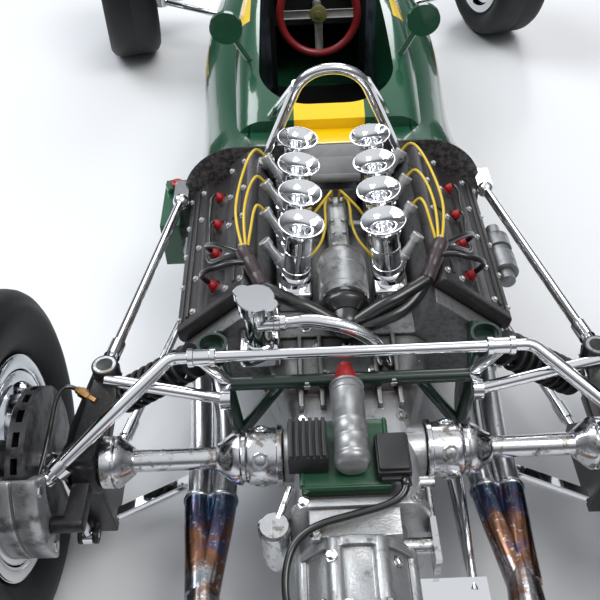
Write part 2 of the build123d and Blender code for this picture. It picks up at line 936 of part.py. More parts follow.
def engine():
    """The V8: crankcase and heads, cam covers, inlet trumpets and what stands in the vee."""
    outline = mirrored(
        (
            (0, sump_bottom),
            (sump_half_width, sump_bottom),
            (crankcase_half_width - 1.5, sump_bottom + 4.0),
            (crankcase_half_width, crankcase_top),
            (head_lower_x, head_lower_z),
            (head_outer_x, head_outer_z),
            (head_inner_x, head_inner_z),
            (valley_half_width, valley_floor),
            (0, valley_floor),
        )
    )
    front_plate = block(
        (-front_plate_half_width, front_plate_half_width),
        (bulkhead_y - front_plate_length, bulkhead_y),
        (valley_floor, front_plate_top),
    )
    parts["engine_block"] = profile_y(outline, engine_rear_y, engine_front_y) + front_plate
    parts["cam_covers"] = both_sides(cam_cover())
    parts["inlet_trumpets"] = both_sides(trumpet_bank())

    cap_y = distributor_rear_y + distributor_length
    cap = (
        (0.0, distributor_radius - distributor_dome),
        (distributor_dome, distributor_radius),
        (distributor_length, distributor_radius),
    )
    parts["distributor"] = turned((0, distributor_rear_y, valley_fitting_z), (0, 1, 0), cap)
    body = (
        (0.0, distributor_radius - running_fit),
        (metering_unit_length * metering_unit_barrel_share, distributor_radius - running_fit),
        (metering_unit_length, metering_unit_nose_radius),
    )
    unit = turned((0, cap_y, valley_fitting_z), (0, 1, 0), body)
    unit += block(
        (-pedestal_half_width, pedestal_half_width),
        (cap_y + metering_unit_length / 2, last_cylinder_y - cylinder_pitch / 2),
        (valley_floor, pedestal_top),
    )
    shaft_y = last_cylinder_y - cylinder_pitch
    shaft_z = valley_floor + throttle_rail_height / 2
    unit += disc_x(-throttle_rail_inner, throttle_rail_inner, shaft_y, shaft_z, throttle_shaft_radius)
    parts["fuel_metering_unit"] = unit


def trumpet_bank():
    """The right-hand row of trumpets on its throttle rail, each with a fuel nozzle outside it."""
    rail_top = valley_floor + throttle_rail_height
    bank = block(
        (throttle_rail_inner, throttle_rail_outer),
        (rear_cylinder_y - cylinder_pitch / 2, last_cylinder_y + cylinder_pitch / 2),
        (valley_floor, rail_top),
    )
    for index in range(cylinders_per_bank):
        y = rear_cylinder_y + index * cylinder_pitch
        bank += trumpet(y, rail_top)
        root = Vector(trumpet_base_x + trumpet_neck_radius / 2, y, rail_top + trumpet_base_height)
        slant = Vector(nozzle_reach, nozzle_lean, nozzle_rise)
        length = slant.length
        nozzle = (
            (0.0, nozzle_radius),
            (length - nozzle_collar_length, nozzle_radius),
            (length - nozzle_collar_length, nozzle_collar_radius),
            (length, nozzle_collar_radius),
            (length, nozzle_bore_radius),
            (length - nozzle_collar_length, nozzle_bore_radius),
        )
        outline = [(0, 0)] + [(radius, distance) for distance, radius in nozzle] + [(0, nozzle[-1][0])]
        face = Plane.XZ * make_face(Polyline(*outline, close=True))
        bank += Plane(origin=root, z_dir=slant) * revolve(face, Axis.Z, 360)
    return bank


def trumpet(y, base_z):
    """One inlet trumpet, turned about its own axis, with a dished bell mouth."""
    axis = Vector(trumpet_top_x - trumpet_base_x, 0, trumpet_top_z - base_z)
    height = axis.length
    throat = height - bell_depth
    flare = bell_radius - trumpet_neck_radius
    outline = (
        (0, -bell_lip),
        (trumpet_base_radius, -bell_lip),
        (trumpet_base_radius, trumpet_base_height),
        (trumpet_neck_radius, trumpet_base_height + 0.8),
        (trumpet_neck_radius, throat),
        (trumpet_neck_radius + flare * 0.14, throat + bell_depth * 0.4),
        (trumpet_neck_radius + flare * 0.45, throat + bell_depth * 0.75),
        (bell_radius, height - bell_lip),
        (bell_radius, height),
        (bell_radius - bell_lip, height),
        (trumpet_neck_radius + flare * 0.2, throat + bell_depth * 0.72),
        (trumpet_neck_radius - bell_lip, throat),
        (0, throat),
    )
    face = Plane.XZ * make_face(Polyline(*outline, close=True))
    body = revolve(face, Axis.Z, 360)
    return Plane(origin=(trumpet_base_x, y, base_z), x_dir=(0, 1, 0), z_dir=axis) * body


def exhausts():
    """Four primaries a side, gathered into a long megaphone."""
    faces = []
    for station, x, z, radius in exhaust_sections:
        faces.append(section_plane(station, x, z) * Circle(radius))
    pipe = loft(faces, ruled=True)
    collector_x, collector_z, collector_radius = exhaust_sections[0][1:]
    for index in range(cylinders_per_bank):
        y = rear_cylinder_y + index * cylinder_pitch
        side_step = primary_step if index % 2 else -primary_step
        rise = primary_step if index < 2 else -primary_step
        pipe += bent_tube(
            (
                (head_lower_x + primary_radius / 2, y, primary_port_z),
                (primary_outer_x, y - primary_radius, primary_run_z + rise),
                (collector_x + side_step, collector_y + 2 * collector_radius, collector_z + rise),
                (collector_x + side_step, collector_y - primary_step, collector_z + rise),
            ),
            primary_radius,
            primary_bend,
        )
    tail_y, tail_x, tail_z, tail_radius = exhaust_sections[-1]
    bore = section_plane(tail_y, tail_x, tail_z) * Circle(tail_radius - exhaust_wall)
    pipe -= extrude(bore, -exhaust_bore_depth)
    add_pair("exhaust", pipe - parts["engine_block"])


def gearbox():
    """Bell housing, final-drive case, gear cluster with its end cover, and the output flanges."""
    mid_z = (gearbox_bottom + gearbox_top) / 2
    case_face = RectangleRounded(2 * gearbox_half_width, gearbox_top - gearbox_bottom, gearbox_corner)
    housing = loft(
        [
            section_plane(engine_rear_y, z=mid_z)
            * RectangleRounded(2 * bellhousing_half_width, bellhousing_height, bellhousing_corner),
            section_plane(gearbox_front_y, z=mid_z) * case_face,
        ],
        ruled=True,
    )
    rib_top = mid_z + bellhousing_height / 2 + bellhousing_rib_height
    for x in bellhousing_ribs:
        housing += block(
            (x - bellhousing_rib_width / 2, x + bellhousing_rib_width / 2),
            (gearbox_front_y, engine_rear_y),
            (mid_z, rib_top),
        )
    lug_low = frame_lug_x - frame_lug_width / 2
    for low in (lug_low, -lug_low - frame_lug_width):
        housing += block(
            (low, low + frame_lug_width),
            (frame_top_y - frame_tube_radius, frame_top_y + frame_tube_radius),
            (mid_z, frame_top_z),
        )
    case = extrude(section_plane(gearbox_front_y, z=mid_z) * case_face, gearbox_front_y - gearbox_split_y)
    case += extrude(
        section_plane(gearbox_split_y + split_flange_thickness, z=mid_z)
        * RectangleRounded(
            2 * (gearbox_half_width + split_flange_rim),
            gearbox_top - gearbox_bottom + 2 * split_flange_rim,
            gearbox_corner + split_flange_rim,
        ),
        split_flange_thickness,
    )
    saddle = block(
        (cluster_x - cluster_saddle_half_width, cluster_x + cluster_saddle_half_width),
        (gearbox_split_y - cluster_saddle_length, gearbox_split_y),
        (cluster_z, gearbox_top),
    )
    flange_y = cluster_saddle_length
    rear_flange_y = cluster_saddle_length + cluster_length
    cluster = turned(
        (cluster_x, gearbox_split_y, cluster_z),
        (0, -1, 0),
        (
            (0.0, cluster_radius),
            (flange_y, cluster_radius),
            (flange_y, cluster_flange_radius),
            (flange_y + cluster_flange_thickness, cluster_flange_radius),
            (flange_y + cluster_flange_thickness, cluster_radius),
            (rear_flange_y - cluster_flange_thickness, cluster_radius),
            (rear_flange_y - cluster_flange_thickness, cluster_flange_radius),
            (rear_flange_y, cluster_flange_radius),
            (rear_flange_y, end_cover_radius),
            (rear_flange_y + end_cover_length, end_cover_radius - end_cover_taper),
        ),
    )
    for index in range(cluster_boss_count):
        angle = math.radians((index + 0.5) * 360 / cluster_boss_count)
        x = cluster_x + cluster_radius * math.cos(angle)
        z = cluster_z + cluster_radius * math.sin(angle)
        boss_front = gearbox_split_y - flange_y
        cluster += rod((x, boss_front, z), (x, gearbox_split_y - rear_flange_y, z), cluster_boss_radius)
    flanges = disc_x(-output_flange_x, output_flange_x, 0, rear_axle_z, output_flange_radius)
    parts["gearbox"] = housing + case + saddle + cluster + flanges


def tube_frame():
    """The tubular rear frame over the gearbox, which carries the springs and links."""
    frame = disc_x(-frame_half_width, frame_half_width, frame_top_y, frame_top_z, frame_tube_radius)
    foot_y = frame_top_y - frame_foot_setback
    for side in (-1, 1):
        corner = (side * frame_half_width, frame_top_y, frame_top_z)
        foot = (side * frame_foot_half_width, foot_y, frame_bottom_z)
        frame += rod(corner, foot, frame_tube_radius)
        frame += Pos(*corner) * Sphere(frame_tube_radius)
        frame += Pos(*foot) * Sphere(frame_tube_radius)
        share = (frame_top_z - frame_brace_z) / (frame_top_z - frame_bottom_z)
        frame += rod((side * frame_brace_x, frame_top_y, frame_top_z), between(corner, foot, share), frame_brace_radius)
        frame += rod(corner, (side * damper_top_x, engine_rear_y, frame_top_z), frame_tube_radius)
        cup_low = damper_top_z - damper_cup_height
        frame += rod(corner, (side * damper_top_x, damper_top_y, cup_low), frame_tube_radius)
        frame += rod(
            (side * damper_top_x, damper_top_y, cup_low), (side * damper_top_x, damper_top_y, damper_top_z),
            damper_cup_radius)
        frame -= rod(
            (side * damper_top_x, damper_top_y, damper_top_z - damper_cup_height / 2),
            (side * damper_top_x, damper_top_y, damper_top_z + 1),
            damper_cup_radius - damper_cup_wall,
        )
    frame += disc_x(-frame_foot_half_width, frame_foot_half_width, foot_y, frame_bottom_z, frame_tube_radius)
    parts["rear_frame"] = frame - parts["gearbox"] - parts["engine_block"]


def bar_arm():
    """The right-hand arm of the anti-roll bar: its corner, its collar's centre and its end."""
    corner = Vector(roll_bar_corner_x, roll_bar_y, roll_bar_z)
    collar = Vector(collar_x, collar_y, collar_z)
    direction = (collar - corner).normalized()
    return corner, collar, collar + direction * bar_stub_length, direction


def roll_bar():
    """The rear anti-roll bar in its two clamps, with a plain stub at the end of each arm."""
    corner, _, end, _ = bar_arm()
    points = [(end.X, end.Y, end.Z), (corner.X, corner.Y, corner.Z)]
    left = [(-x, y, z) for x, y, z in points]
    bar = bent_tube(left + points[::-1], roll_bar_radius, roll_bar_bend)
    for side in (-1, 1):
        low = side * clamp_x - clamp_length / 2
        bar += disc_x(low, low + clamp_length, roll_bar_y, roll_bar_z, clamp_radius)
        leg_top = (side * (clamp_x - clamp_radius), roll_bar_y, roll_bar_z)
        bar += rod(leg_top, (side * frame_half_width, frame_top_y, frame_top_z), clamp_leg_radius)
    parts["anti_roll_bar"] = bar - parts["rear_frame"]


def upright_right():
    """The cast rear upright, leaning outward from its top boss to its hub and wide foot."""
    foot_low = upright_foot_z - upright_foot_half_height
    foot_high = upright_foot_z + upright_foot_half_height
    boss_low = upright_top_z - upright_boss_height / 2
    web_inset = upright_web_inset
    web_half = upright_boss_radius - web_inset
    side_view = profile_x(
        (
            (upright_top_y - web_half, upright_top_z),
            (upright_top_y + web_half, upright_top_z),
            (upright_hub_radius - web_inset, rear_axle_z),
            (upright_foot_front_y, foot_high),
            (upright_foot_front_y, foot_low),
            (upright_foot_rear_y, foot_low),
            (upright_web_rear_y, rear_axle_z - upright_hub_radius),
            (upright_web_rear_y, rear_axle_z + upright_hub_radius),
        ),
        upright_top_x - 2 * upright_boss_radius,
        upright_outer_x + upright_boss_radius,
    )
    lean = profile_y(
        (
            (upright_top_x - web_half, upright_top_z),
            (upright_top_x - web_half, boss_low),
            (upright_inner_x + web_inset, rear_axle_z + upright_hub_radius),
            (upright_inner_x + 2 * web_inset, foot_low),
            (upright_hub_outer_x + web_inset, foot_low),
            (upright_outer_x - web_inset, rear_axle_z - upright_hub_radius),
            (upright_outer_x - web_inset, rear_axle_z + upright_hub_radius / 2),
            (upright_top_x + web_half, upright_top_z),
        ),
        upright_web_rear_y - 1,
        upright_foot_front_y + 1,
    )
    web = side_view & lean
    boss_high = boss_low + upright_boss_height
    web += rod(
        (upright_top_x, upright_top_y, boss_low), (upright_top_x, upright_top_y, boss_high), upright_boss_radius)
    web += disc_x(upright_inner_x, upright_hub_outer_x, 0, rear_axle_z, upright_hub_radius)
    web += disc_x(upright_hub_outer_x, upright_outer_x, 0, rear_axle_z, upright_nose_radius)
    web += block(
        (damper_foot_x - damper_lug_half, damper_foot_x + damper_lug_half),
        (upright_hub_radius / 2, damper_foot_y - damper_foot_eye_radius),
        (damper_foot_z - damper_lug_half, damper_foot_z + damper_lug_half),
    )
    lug_y = -(caliper_inner_radius + caliper_lug_radius / 2)
    lug_x = caliper_inboard_x()
    web += disc_x(upright_inner_x + 1.0, lug_x, lug_y, rear_axle_z, caliper_lug_radius / 2)
    web += block(
        (upright_inner_x + 1.0, upright_hub_outer_x),
        (lug_y, 0),
        (rear_axle_z - caliper_lug_radius / 2, rear_axle_z + caliper_lug_radius / 2),
    )
    eye_half = drop_link_eye_width / 2
    for low, high in ((-eye_half - fork_cheek, -eye_half - running_fit), (eye_half + running_fit, eye_half + fork_cheek)):
        web += disc_x(collar_x + low, collar_x + high, drop_link_foot_y, drop_link_foot_z, drop_link_eye_radius)
        web += block(
            (collar_x + low, collar_x + high),
            (drop_link_foot_y, upright_foot_rear_y + 1),
            (drop_link_foot_z - drop_link_eye_radius, drop_link_foot_z + drop_link_eye_radius),
        )
    web += block(
        (upright_inner_x + 1.0, collar_x + eye_half + fork_cheek),
        (upright_foot_rear_y, upright_foot_rear_y + 2),
        (drop_link_foot_z - drop_link_eye_radius, drop_link_foot_z + drop_link_eye_radius),
    )
    web -= disc_x(0, track_rear, drop_link_foot_y, drop_link_foot_z, drop_link_pin_radius + running_fit)
    return web - disc_x(0, track_rear, 0, rear_axle_z, rear_stub_radius + running_fit)


def rear_disc_thickness():
    """The vented disc's two plates with the air gap between them."""
    return 2 * rear_disc_plate + rear_disc_vent


def caliper_inboard_x():
    """The inner face of the rear caliper."""
    return rear_disc_inboard - caliper_gap - caliper_outer_width / 2 - 0.6


def caliper(x_inner, axle, inboard, thickness, radius):
    """A caliper behind a disc: a sector of a drum round the axle, slotted for the disc, in two halves."""
    axle_y, axle_z = axle
    x_outer = inboard + thickness + caliper_gap + caliper_outer_width
    outer = radius + caliper_gap + caliper_bridge
    ring = disc_x(x_inner, x_outer, axle_y, axle_z, outer)
    ring -= disc_x(x_inner, x_outer, axle_y, axle_z, min(caliper_inner_radius, 0.75 * radius))
    ring -= disc_x(inboard - caliper_gap, inboard + thickness + caliper_gap, axle_y, axle_z, radius + caliper_gap)
    reach = 2 * outer
    wedge = [(axle_y, axle_z)]
    for angle in (caliper_low_angle, (caliper_low_angle + caliper_high_angle) / 2, caliper_high_angle):
        slope = math.radians(angle)
        wedge.append((axle_y - reach * math.cos(slope), axle_z + reach * math.sin(slope)))
    joint_x = inboard + thickness / 2
    seam = disc_x(joint_x - running_fit, joint_x + running_fit, axle_y, axle_z, outer + 1)
    seam -= disc_x(joint_x - running_fit, joint_x + running_fit, axle_y, axle_z, outer - caliper_bridge / 3)
    return (ring & profile_x(wedge, x_inner, x_outer)) - seam


def rear_suspension():
    """Uprights, calipers, links and spring units of the rear axle."""
    upright = upright_right()
    frame = parts["rear_frame"]
    bar = parts["anti_roll_bar"]
    parts["rear_uprights"] = both_sides(upright)
    rear_caliper = caliper(
        caliper_inboard_x(), (0, rear_axle_z), rear_disc_inboard, rear_disc_thickness(), rear_disc_radius)
    parts["rear_calipers"] = both_sides(rear_caliper - upright)

    inner_end = (frame_half_width, upper_link_y, frame_top_z)
    outer_end = (upright_top_x, upper_link_y + 0.6, upright_top_z + 0.4)
    upper = rod(inner_end, outer_end, link_radius)
    upper += disc_x(
        frame_half_width - link_eye_width / 2, frame_half_width + link_eye_width / 2,
        upper_link_y, frame_top_z, link_eye_radius)
    upper += block(
        (frame_half_width - link_eye_width / 2, frame_half_width + link_eye_width / 2),
        (upper_link_y, frame_top_y),
        (frame_top_z - link_radius, frame_top_z + link_radius),
    )
    upper = upper - frame - upright - bar

    apex = (lower_pivot_x, lower_pivot_y, upright_foot_z)
    front_foot = (upright_inner_x + 1.0, upright_foot_front_y - 2.0, upright_foot_z)
    rear_foot = (upright_inner_x + 1.0, upright_foot_rear_y + 2.0, upright_foot_z)
    wishbone = i_beam(apex, front_foot) + i_beam(apex, rear_foot)
    wishbone += rod(
        (lower_pivot_x, frame_top_y - frame_foot_setback, upright_foot_z),
        (lower_pivot_x, lower_pivot_y + lower_pivot_radius, upright_foot_z),
        lower_pivot_radius,
    )
    wishbone = wishbone - frame - upright

    body = body_solid()
    upper_front = (radius_rod_upper_x, radius_rod_front_y, radius_rod_upper_z)
    upper_rear = (upright_top_x, upright_top_y, upright_top_z + 0.4)
    lower_front = (radius_rod_lower_x, radius_rod_front_y, radius_rod_lower_z)
    lower_rear = (upright_inner_x + 2.0, upright_foot_front_y - 1.0, upright_foot_z + 0.4)
    rods = []
    for front, rear in ((upper_front, upper_rear), (lower_front, lower_rear)):
        axis = Vector(*front) - Vector(*rear)
        start = Vector(*rear) + axis.normalized() * (upright_boss_radius + 1.0)
        bar_solid = rod(rear, front, link_radius)
        bar_solid += rod(start, start + axis.normalized() * adjuster_length, adjuster_radius)
        bar_solid += Pos(*front) * Sphere(link_eye_radius)
        x, y, z = front
        bar_solid += block(
            (x - rod_bracket_half, x + rod_bracket_half), (y, bulkhead_y + rod_bracket_half),
            (z - rod_bracket_half / 2, z + rod_bracket_half / 2))
        rods.append(bar_solid - body - upright)

    top = Vector(damper_top_x, damper_top_y, damper_top_z - damper_cup_height / 2)
    foot = Vector(damper_foot_x, damper_foot_y, damper_foot_z)
    axis = foot - top
    length = axis.length
    first = spring_start * length
    pitch = (spring_end - spring_start) * length / spring_coils
    core = damper_tube_radius
    coils = [(0.0, damper_rod_radius), (first, damper_rod_radius)]
    for index in range(spring_coils):
        low = first + index * pitch
        coils += [(low, core), (low + pitch * 0.3, spring_radius), (low + pitch * 0.7, spring_radius)]
    last = first + spring_coils * pitch
    coils += [(last, core), (last, damper_rod_radius), (length - damper_foot_eye_radius / 2, damper_rod_radius)]
    unit = turned(top, axis, coils)
    unit += disc_x(
        damper_foot_x - link_eye_width / 2, damper_foot_x + link_eye_width / 2,
        damper_foot_y, damper_foot_z, damper_foot_eye_radius)
    parts["spring_dampers"] = both_sides(unit - frame - upright - bar)

    _, collar, _, direction = bar_arm()
    drop_link = rod(
        collar - direction * (collar_thickness / 2), collar + direction * (collar_thickness / 2), collar_radius)
    drop_link += rod(
        (collar_x, collar_y, collar_z - collar_radius / 2),
        (collar_x, drop_link_foot_y, drop_link_foot_z),
        drop_link_radius,
    )
    half = drop_link_eye_width / 2
    drop_link += disc_x(collar_x - half, collar_x + half, drop_link_foot_y, drop_link_foot_z, drop_link_eye_radius)
    drop_link += disc_x(
        collar_x - half - fork_cheek, collar_x + half + fork_cheek, drop_link_foot_y, drop_link_foot_z,
        drop_link_pin_radius)
    bore = rod(collar - direction * collar_radius, collar + direction * collar_radius, roll_bar_radius + running_fit)
    drop_link = drop_link - bore - upright - bar
    add_pair("rear_links", Compound([upper, wishbone, *rods, drop_link]))


def tyre(width, radius, rim_width):
    """A bare tyre about the X axis: bead seat, bulged sidewalls, shoulders and a flat tread."""
    half = width / 2
    seat = rim_width / 2 - rim_wall
    bulge = rim_lip_radius + bulge_share * (radius - rim_lip_radius)
    side = (
        (seat, rim_bead_radius),
        (seat, rim_lip_radius),
        (half, bulge),
        (half - tread_shoulder, radius),
    )
    outline = list(side) + [(-x, r) for x, r in reversed(side)]
    return revolve(make_face(Polyline(*outline, close=True)), Axis.X, 360)


def rim(rim_width, dish_x, bore_radius):
    """A spoked rim about the X axis, open inboard, with its spokes at dish_x."""
    half = rim_width / 2
    wall = rim_wall
    inner = rim_bead_radius - wall
    side = (
        (half - wall, rim_bead_radius),
        (half - wall, rim_lip_radius),
        (half, rim_lip_radius),
        (half, inner + 0.6 * wall),
        (half - 2 * wall, inner),
    )
    barrel = list(side) + [(-x, r) for x, r in reversed(side)]
    ring = revolve(make_face(Polyline(*barrel, close=True)), Axis.X, 360)
    ring += disc_x(dish_x - hub_depth, dish_x + hub_nose, 0, 0, hub_radius)
    reach = inner + spoke_root
    for index in range(spoke_count):
        spoke = Pos(dish_x, 0, reach / 2) * Box(spoke_thickness, spoke_width, reach)
        ring += Rot(X=index * 360.0 / spoke_count) * spoke
    return ring - disc_x(dish_x - 2 * hub_depth, dish_x + hub_nose / 2, 0, 0, bore_radius)


def rear_wheels():
    """Tyre, rim, brake disc and driveshaft of each driven wheel, all on one axis."""
    centre = track_rear / 2
    at_axle = Pos(centre, 0, rear_axle_z)
    add_pair("rear_tyre", at_axle * tyre(rear_tyre_width, rear_tyre_radius, rear_rim_width))
    add_pair("rear_rim", at_axle * rim(rear_rim_width, rear_dish, rear_stub_radius))

    start = output_flange_x + running_fit
    drum_end = shaft_flange_thickness + inner_joint_length
    cone_start = drum_end + joint_gap
    outer_end = upright_inner_x - outer_joint_clearance - start
    outer_start = outer_end - outer_joint_length
    profile = (
        (0.0, shaft_flange_radius),
        (shaft_flange_thickness, shaft_flange_radius),
        (shaft_flange_thickness, inner_joint_radius),
        (drum_end, inner_joint_radius),
        (drum_end, inner_joint_radius - joint_gap),
        (cone_start, inner_joint_radius - joint_gap),
        (cone_start, inner_joint_radius),
        (cone_start + joint_cone_length, shaft_neck_radius),
        (cone_start + joint_cone_length, shaft_tube_radius),
        (outer_start - joint_gap - outer_cone_length, shaft_tube_radius),
        (outer_start - joint_gap - outer_cone_length, shaft_neck_radius),
        (outer_start - joint_gap, outer_joint_radius),
        (outer_start - joint_gap, outer_joint_radius - joint_gap),
        (outer_start, outer_joint_radius - joint_gap),
        (outer_start, outer_joint_radius),
        (outer_end, outer_joint_radius),
        (outer_end, rear_stub_radius),
        (centre + rear_dish + hub_nose / 2 - start, rear_stub_radius),
    )
    add_pair("driveshaft", turned((start, 0, rear_axle_z), (1, 0, 0), profile))

    thickness = rear_disc_thickness()
    disc = disc_x(rear_disc_inboard, rear_disc_inboard + thickness, 0, rear_axle_z, rear_disc_radius)
    slots = []
    for index in range(vent_slot_count):
        slot = Pos(thickness / 2, 0, rear_disc_radius) * Box(rear_disc_vent, vent_slot_width, 2 * vent_slot_depth)
        slots.append(Pos(rear_disc_inboard, 0, rear_axle_z) * Rot(X=index * 360.0 / vent_slot_count) * slot)
    disc -= slots
    hat_end = centre + rear_dish - hub_depth
    disc += disc_x(rear_disc_inboard, hat_end, 0, rear_axle_z, hub_radius)
    disc -= disc_x(rear_disc_inboard - 1, hat_end + 1, 0, rear_axle_z, rear_stub_radius)
    add_pair("rear_disc", disc)


def front_suspension():
    """Rocker arms and lower wishbones, each ending in an eye on the kingpin."""
    body = body_solid()
    top_mid = kingpin_top - kingpin_eye_height / 2
    low_mid = kingpin_bottom + kingpin_eye_height / 2
    root = Plane(origin=(rocker_root_x, wheelbase, rocker_root_z), x_dir=(0, 1, 0), z_dir=(1, 0, 0))
    tip = Plane(origin=(kingpin_x - rocker_tip_setback, wheelbase, top_mid), x_dir=(0, 1, 0), z_dir=(1, 0, 0))
    arm = loft(
        [
            root * Rectangle(rocker_root_depth, rocker_root_height),
            tip * Rectangle(rocker_tip_depth, rocker_tip_height),
        ],
        ruled=True,
    )
    arm += rod(
        (kingpin_x, wheelbase, kingpin_top - kingpin_eye_height), (kingpin_x, wheelbase, kingpin_top),
        kingpin_eye_radius)
    bore = rod((kingpin_x, wheelbase, 0), (kingpin_x, wheelbase, 2 * kingpin_top), kingpin_radius + running_fit)
    rocker = arm - bore - body

    outer = (kingpin_x, wheelbase, low_mid)
    lower = rod((wishbone_front_x, wheelbase + wishbone_front_reach, low_mid), outer, link_radius)
    lower += rod((wishbone_rear_x, wheelbase - wishbone_rear_reach, low_mid), outer, link_radius)
    lower += rod(
        (kingpin_x, wheelbase, kingpin_bottom), (kingpin_x, wheelbase, kingpin_bottom + kingpin_eye_height),
        kingpin_eye_radius)
    wishbone = lower - bore - body
    add_pair("front_links", Compound([rocker, wishbone]))


def steered(shape, side):
    """A front wheel piece turned about its kingpin to the resting steering angle."""
    axis = Axis((side * kingpin_x, wheelbase, 0), (0, 0, 1))
    return shape.rotate(axis, steer_rest)


def add_steered_pair(name, right_shape):
    """Store a front piece and its mirror image, both turned to the resting steering angle."""
    parts[name + "_right"] = steered(right_shape, 1)
    parts[name + "_left"] = steered(mirror(right_shape, Plane.YZ), -1)


def front_wheels():
    """Knuckles with their stub axles, and the tyre, rim and disc that turn on them."""
    centre = track_front / 2
    at_axle = Pos(centre, wheelbase, front_axle_z)
    rack_z = rack_line()[1]
    low = kingpin_bottom + kingpin_eye_height + seat_gap
    high = kingpin_top - kingpin_eye_height - seat_gap
    boss_end = front_disc_inboard - 2 * seat_gap

    knuckle = rod((kingpin_x, wheelbase, low), (kingpin_x, wheelbase, high), kingpin_eye_radius)
    knuckle += rod(
        (kingpin_x, wheelbase, kingpin_bottom), (kingpin_x, wheelbase, kingpin_top), kingpin_radius)
    knuckle += disc_x(kingpin_x, centre + front_dish, wheelbase, front_axle_z, stub_axle_radius)
    knuckle += disc_x(kingpin_x, boss_end, wheelbase, front_axle_z, knuckle_boss_radius)
    arm_top = rack_z - track_rod_eye_height / 2 - seat_gap
    arm_y = wheelbase + steering_arm
    knuckle += block(
        (kingpin_x - arm_width / 2, kingpin_x + arm_width / 2), (wheelbase, arm_y), (arm_top - arm_thickness, arm_top))
    knuckle += rod((kingpin_x, arm_y, arm_top - arm_thickness), (kingpin_x, arm_y, arm_top), track_rod_eye_radius)
    knuckle += rod(
        (kingpin_x, arm_y, arm_top), (kingpin_x, arm_y, rack_z + track_rod_eye_height / 2 + seat_gap), arm_pin_radius)
    knuckle += block(
        (kingpin_x - arm_width / 2, boss_end - seat_gap),
        (wheelbase - front_disc_radius + seat_gap, wheelbase),
        (front_axle_z - caliper_arm_height / 2, front_axle_z + caliper_arm_height / 2),
    )
    add_steered_pair("front_knuckle", knuckle)
    front_caliper = caliper(
        kingpin_x + arm_width / 2, (wheelbase, front_axle_z), front_disc_inboard, front_disc_thickness,
        front_disc_radius)
    add_steered_pair("front_caliper", front_caliper - knuckle)

    add_steered_pair("front_tyre", at_axle * tyre(front_tyre_width, front_tyre_radius, front_rim_width))
    wheel_rim = at_axle * rim(front_rim_width, front_dish, stub_axle_radius + running_fit)
    add_steered_pair("front_rim", wheel_rim)
    hat_end = centre + front_dish - hub_depth
    disc = disc_x(
        front_disc_inboard, front_disc_inboard + front_disc_thickness, wheelbase, front_axle_z, front_disc_radius)
    disc += disc_x(front_disc_inboard, hat_end, wheelbase, front_axle_z, hub_radius)
    disc -= disc_x(
        front_disc_inboard - 1, hat_end + 1, wheelbase, front_axle_z, stub_axle_radius + running_fit)
    add_steered_pair("front_disc", disc)


def steering():
    """The rack in its housing with both track rods, and the wheel on its column."""
    distance, rack_z = rack_line()
    rack_y = wheelbase + steering_arm
    angle = math.radians(steer_rest)
    shift_x = -steering_arm * math.sin(angle)
    shift_y = steering_arm * math.cos(angle) - steering_arm
    housing = disc_x(-rack_housing_half, rack_housing_half, rack_y, rack_z, rack_housing_radius)
    housing -= disc_x(
        -rack_housing_half - 1, rack_housing_half + 1, rack_y, rack_z, rack_rod_radius + running_fit + abs(shift_y))
    housing -= rod(
        column_point(distance - 2 * pinion_length), column_point(distance + 2 * pinion_length), pinion_radius + seat_gap)
    parts["steering_rack"] = housing

    left_eye = (-kingpin_x + shift_x, rack_y + shift_y, rack_z)
    right_eye = (kingpin_x + shift_x, rack_y + shift_y, rack_z)
    bar = rod(left_eye, right_eye, rack_rod_radius)
    eye_half = track_rod_eye_height / 2
    for x, y, z in (left_eye, right_eye):
        bar += rod((x, y, z - eye_half), (x, y, z + eye_half), track_rod_eye_radius)
        bar -= rod((x, y, z - 2 * eye_half), (x, y, z + 2 * eye_half), arm_pin_radius + arm_pin_clearance)
    parts["track_rods"] = bar

    toward_driver = Vector(*column_point(-1)) - Vector(*column_point(0))
    hub_plane = Plane(origin=column_point(0), x_dir=(1, 0, 0), z_dir=toward_driver)
    reach = steering_wheel_radius - steering_rim_radius
    wheel = Torus(reach, steering_rim_radius)
    wheel += Pos(0, 0, -steering_hub_height / 3) * Cylinder(steering_hub_radius, steering_hub_height)
    for index in range(steering_spoke_count):
        spoke = Pos(reach / 2, 0, -steering_spoke_thickness / 2) * Box(
            reach, steering_spoke_width, steering_spoke_thickness)
        wheel += Rot(Z=index * 360.0 / steering_spoke_count - 90.0) * spoke
    wheel = hub_plane * wheel
    wheel += rod(column_point(0), column_point(distance + pinion_length / 2), column_radius)
    wheel += rod(
        column_point(distance - pinion_length / 2), column_point(distance + pinion_length / 2), pinion_radius)
    parts["steering_wheel"] = wheel


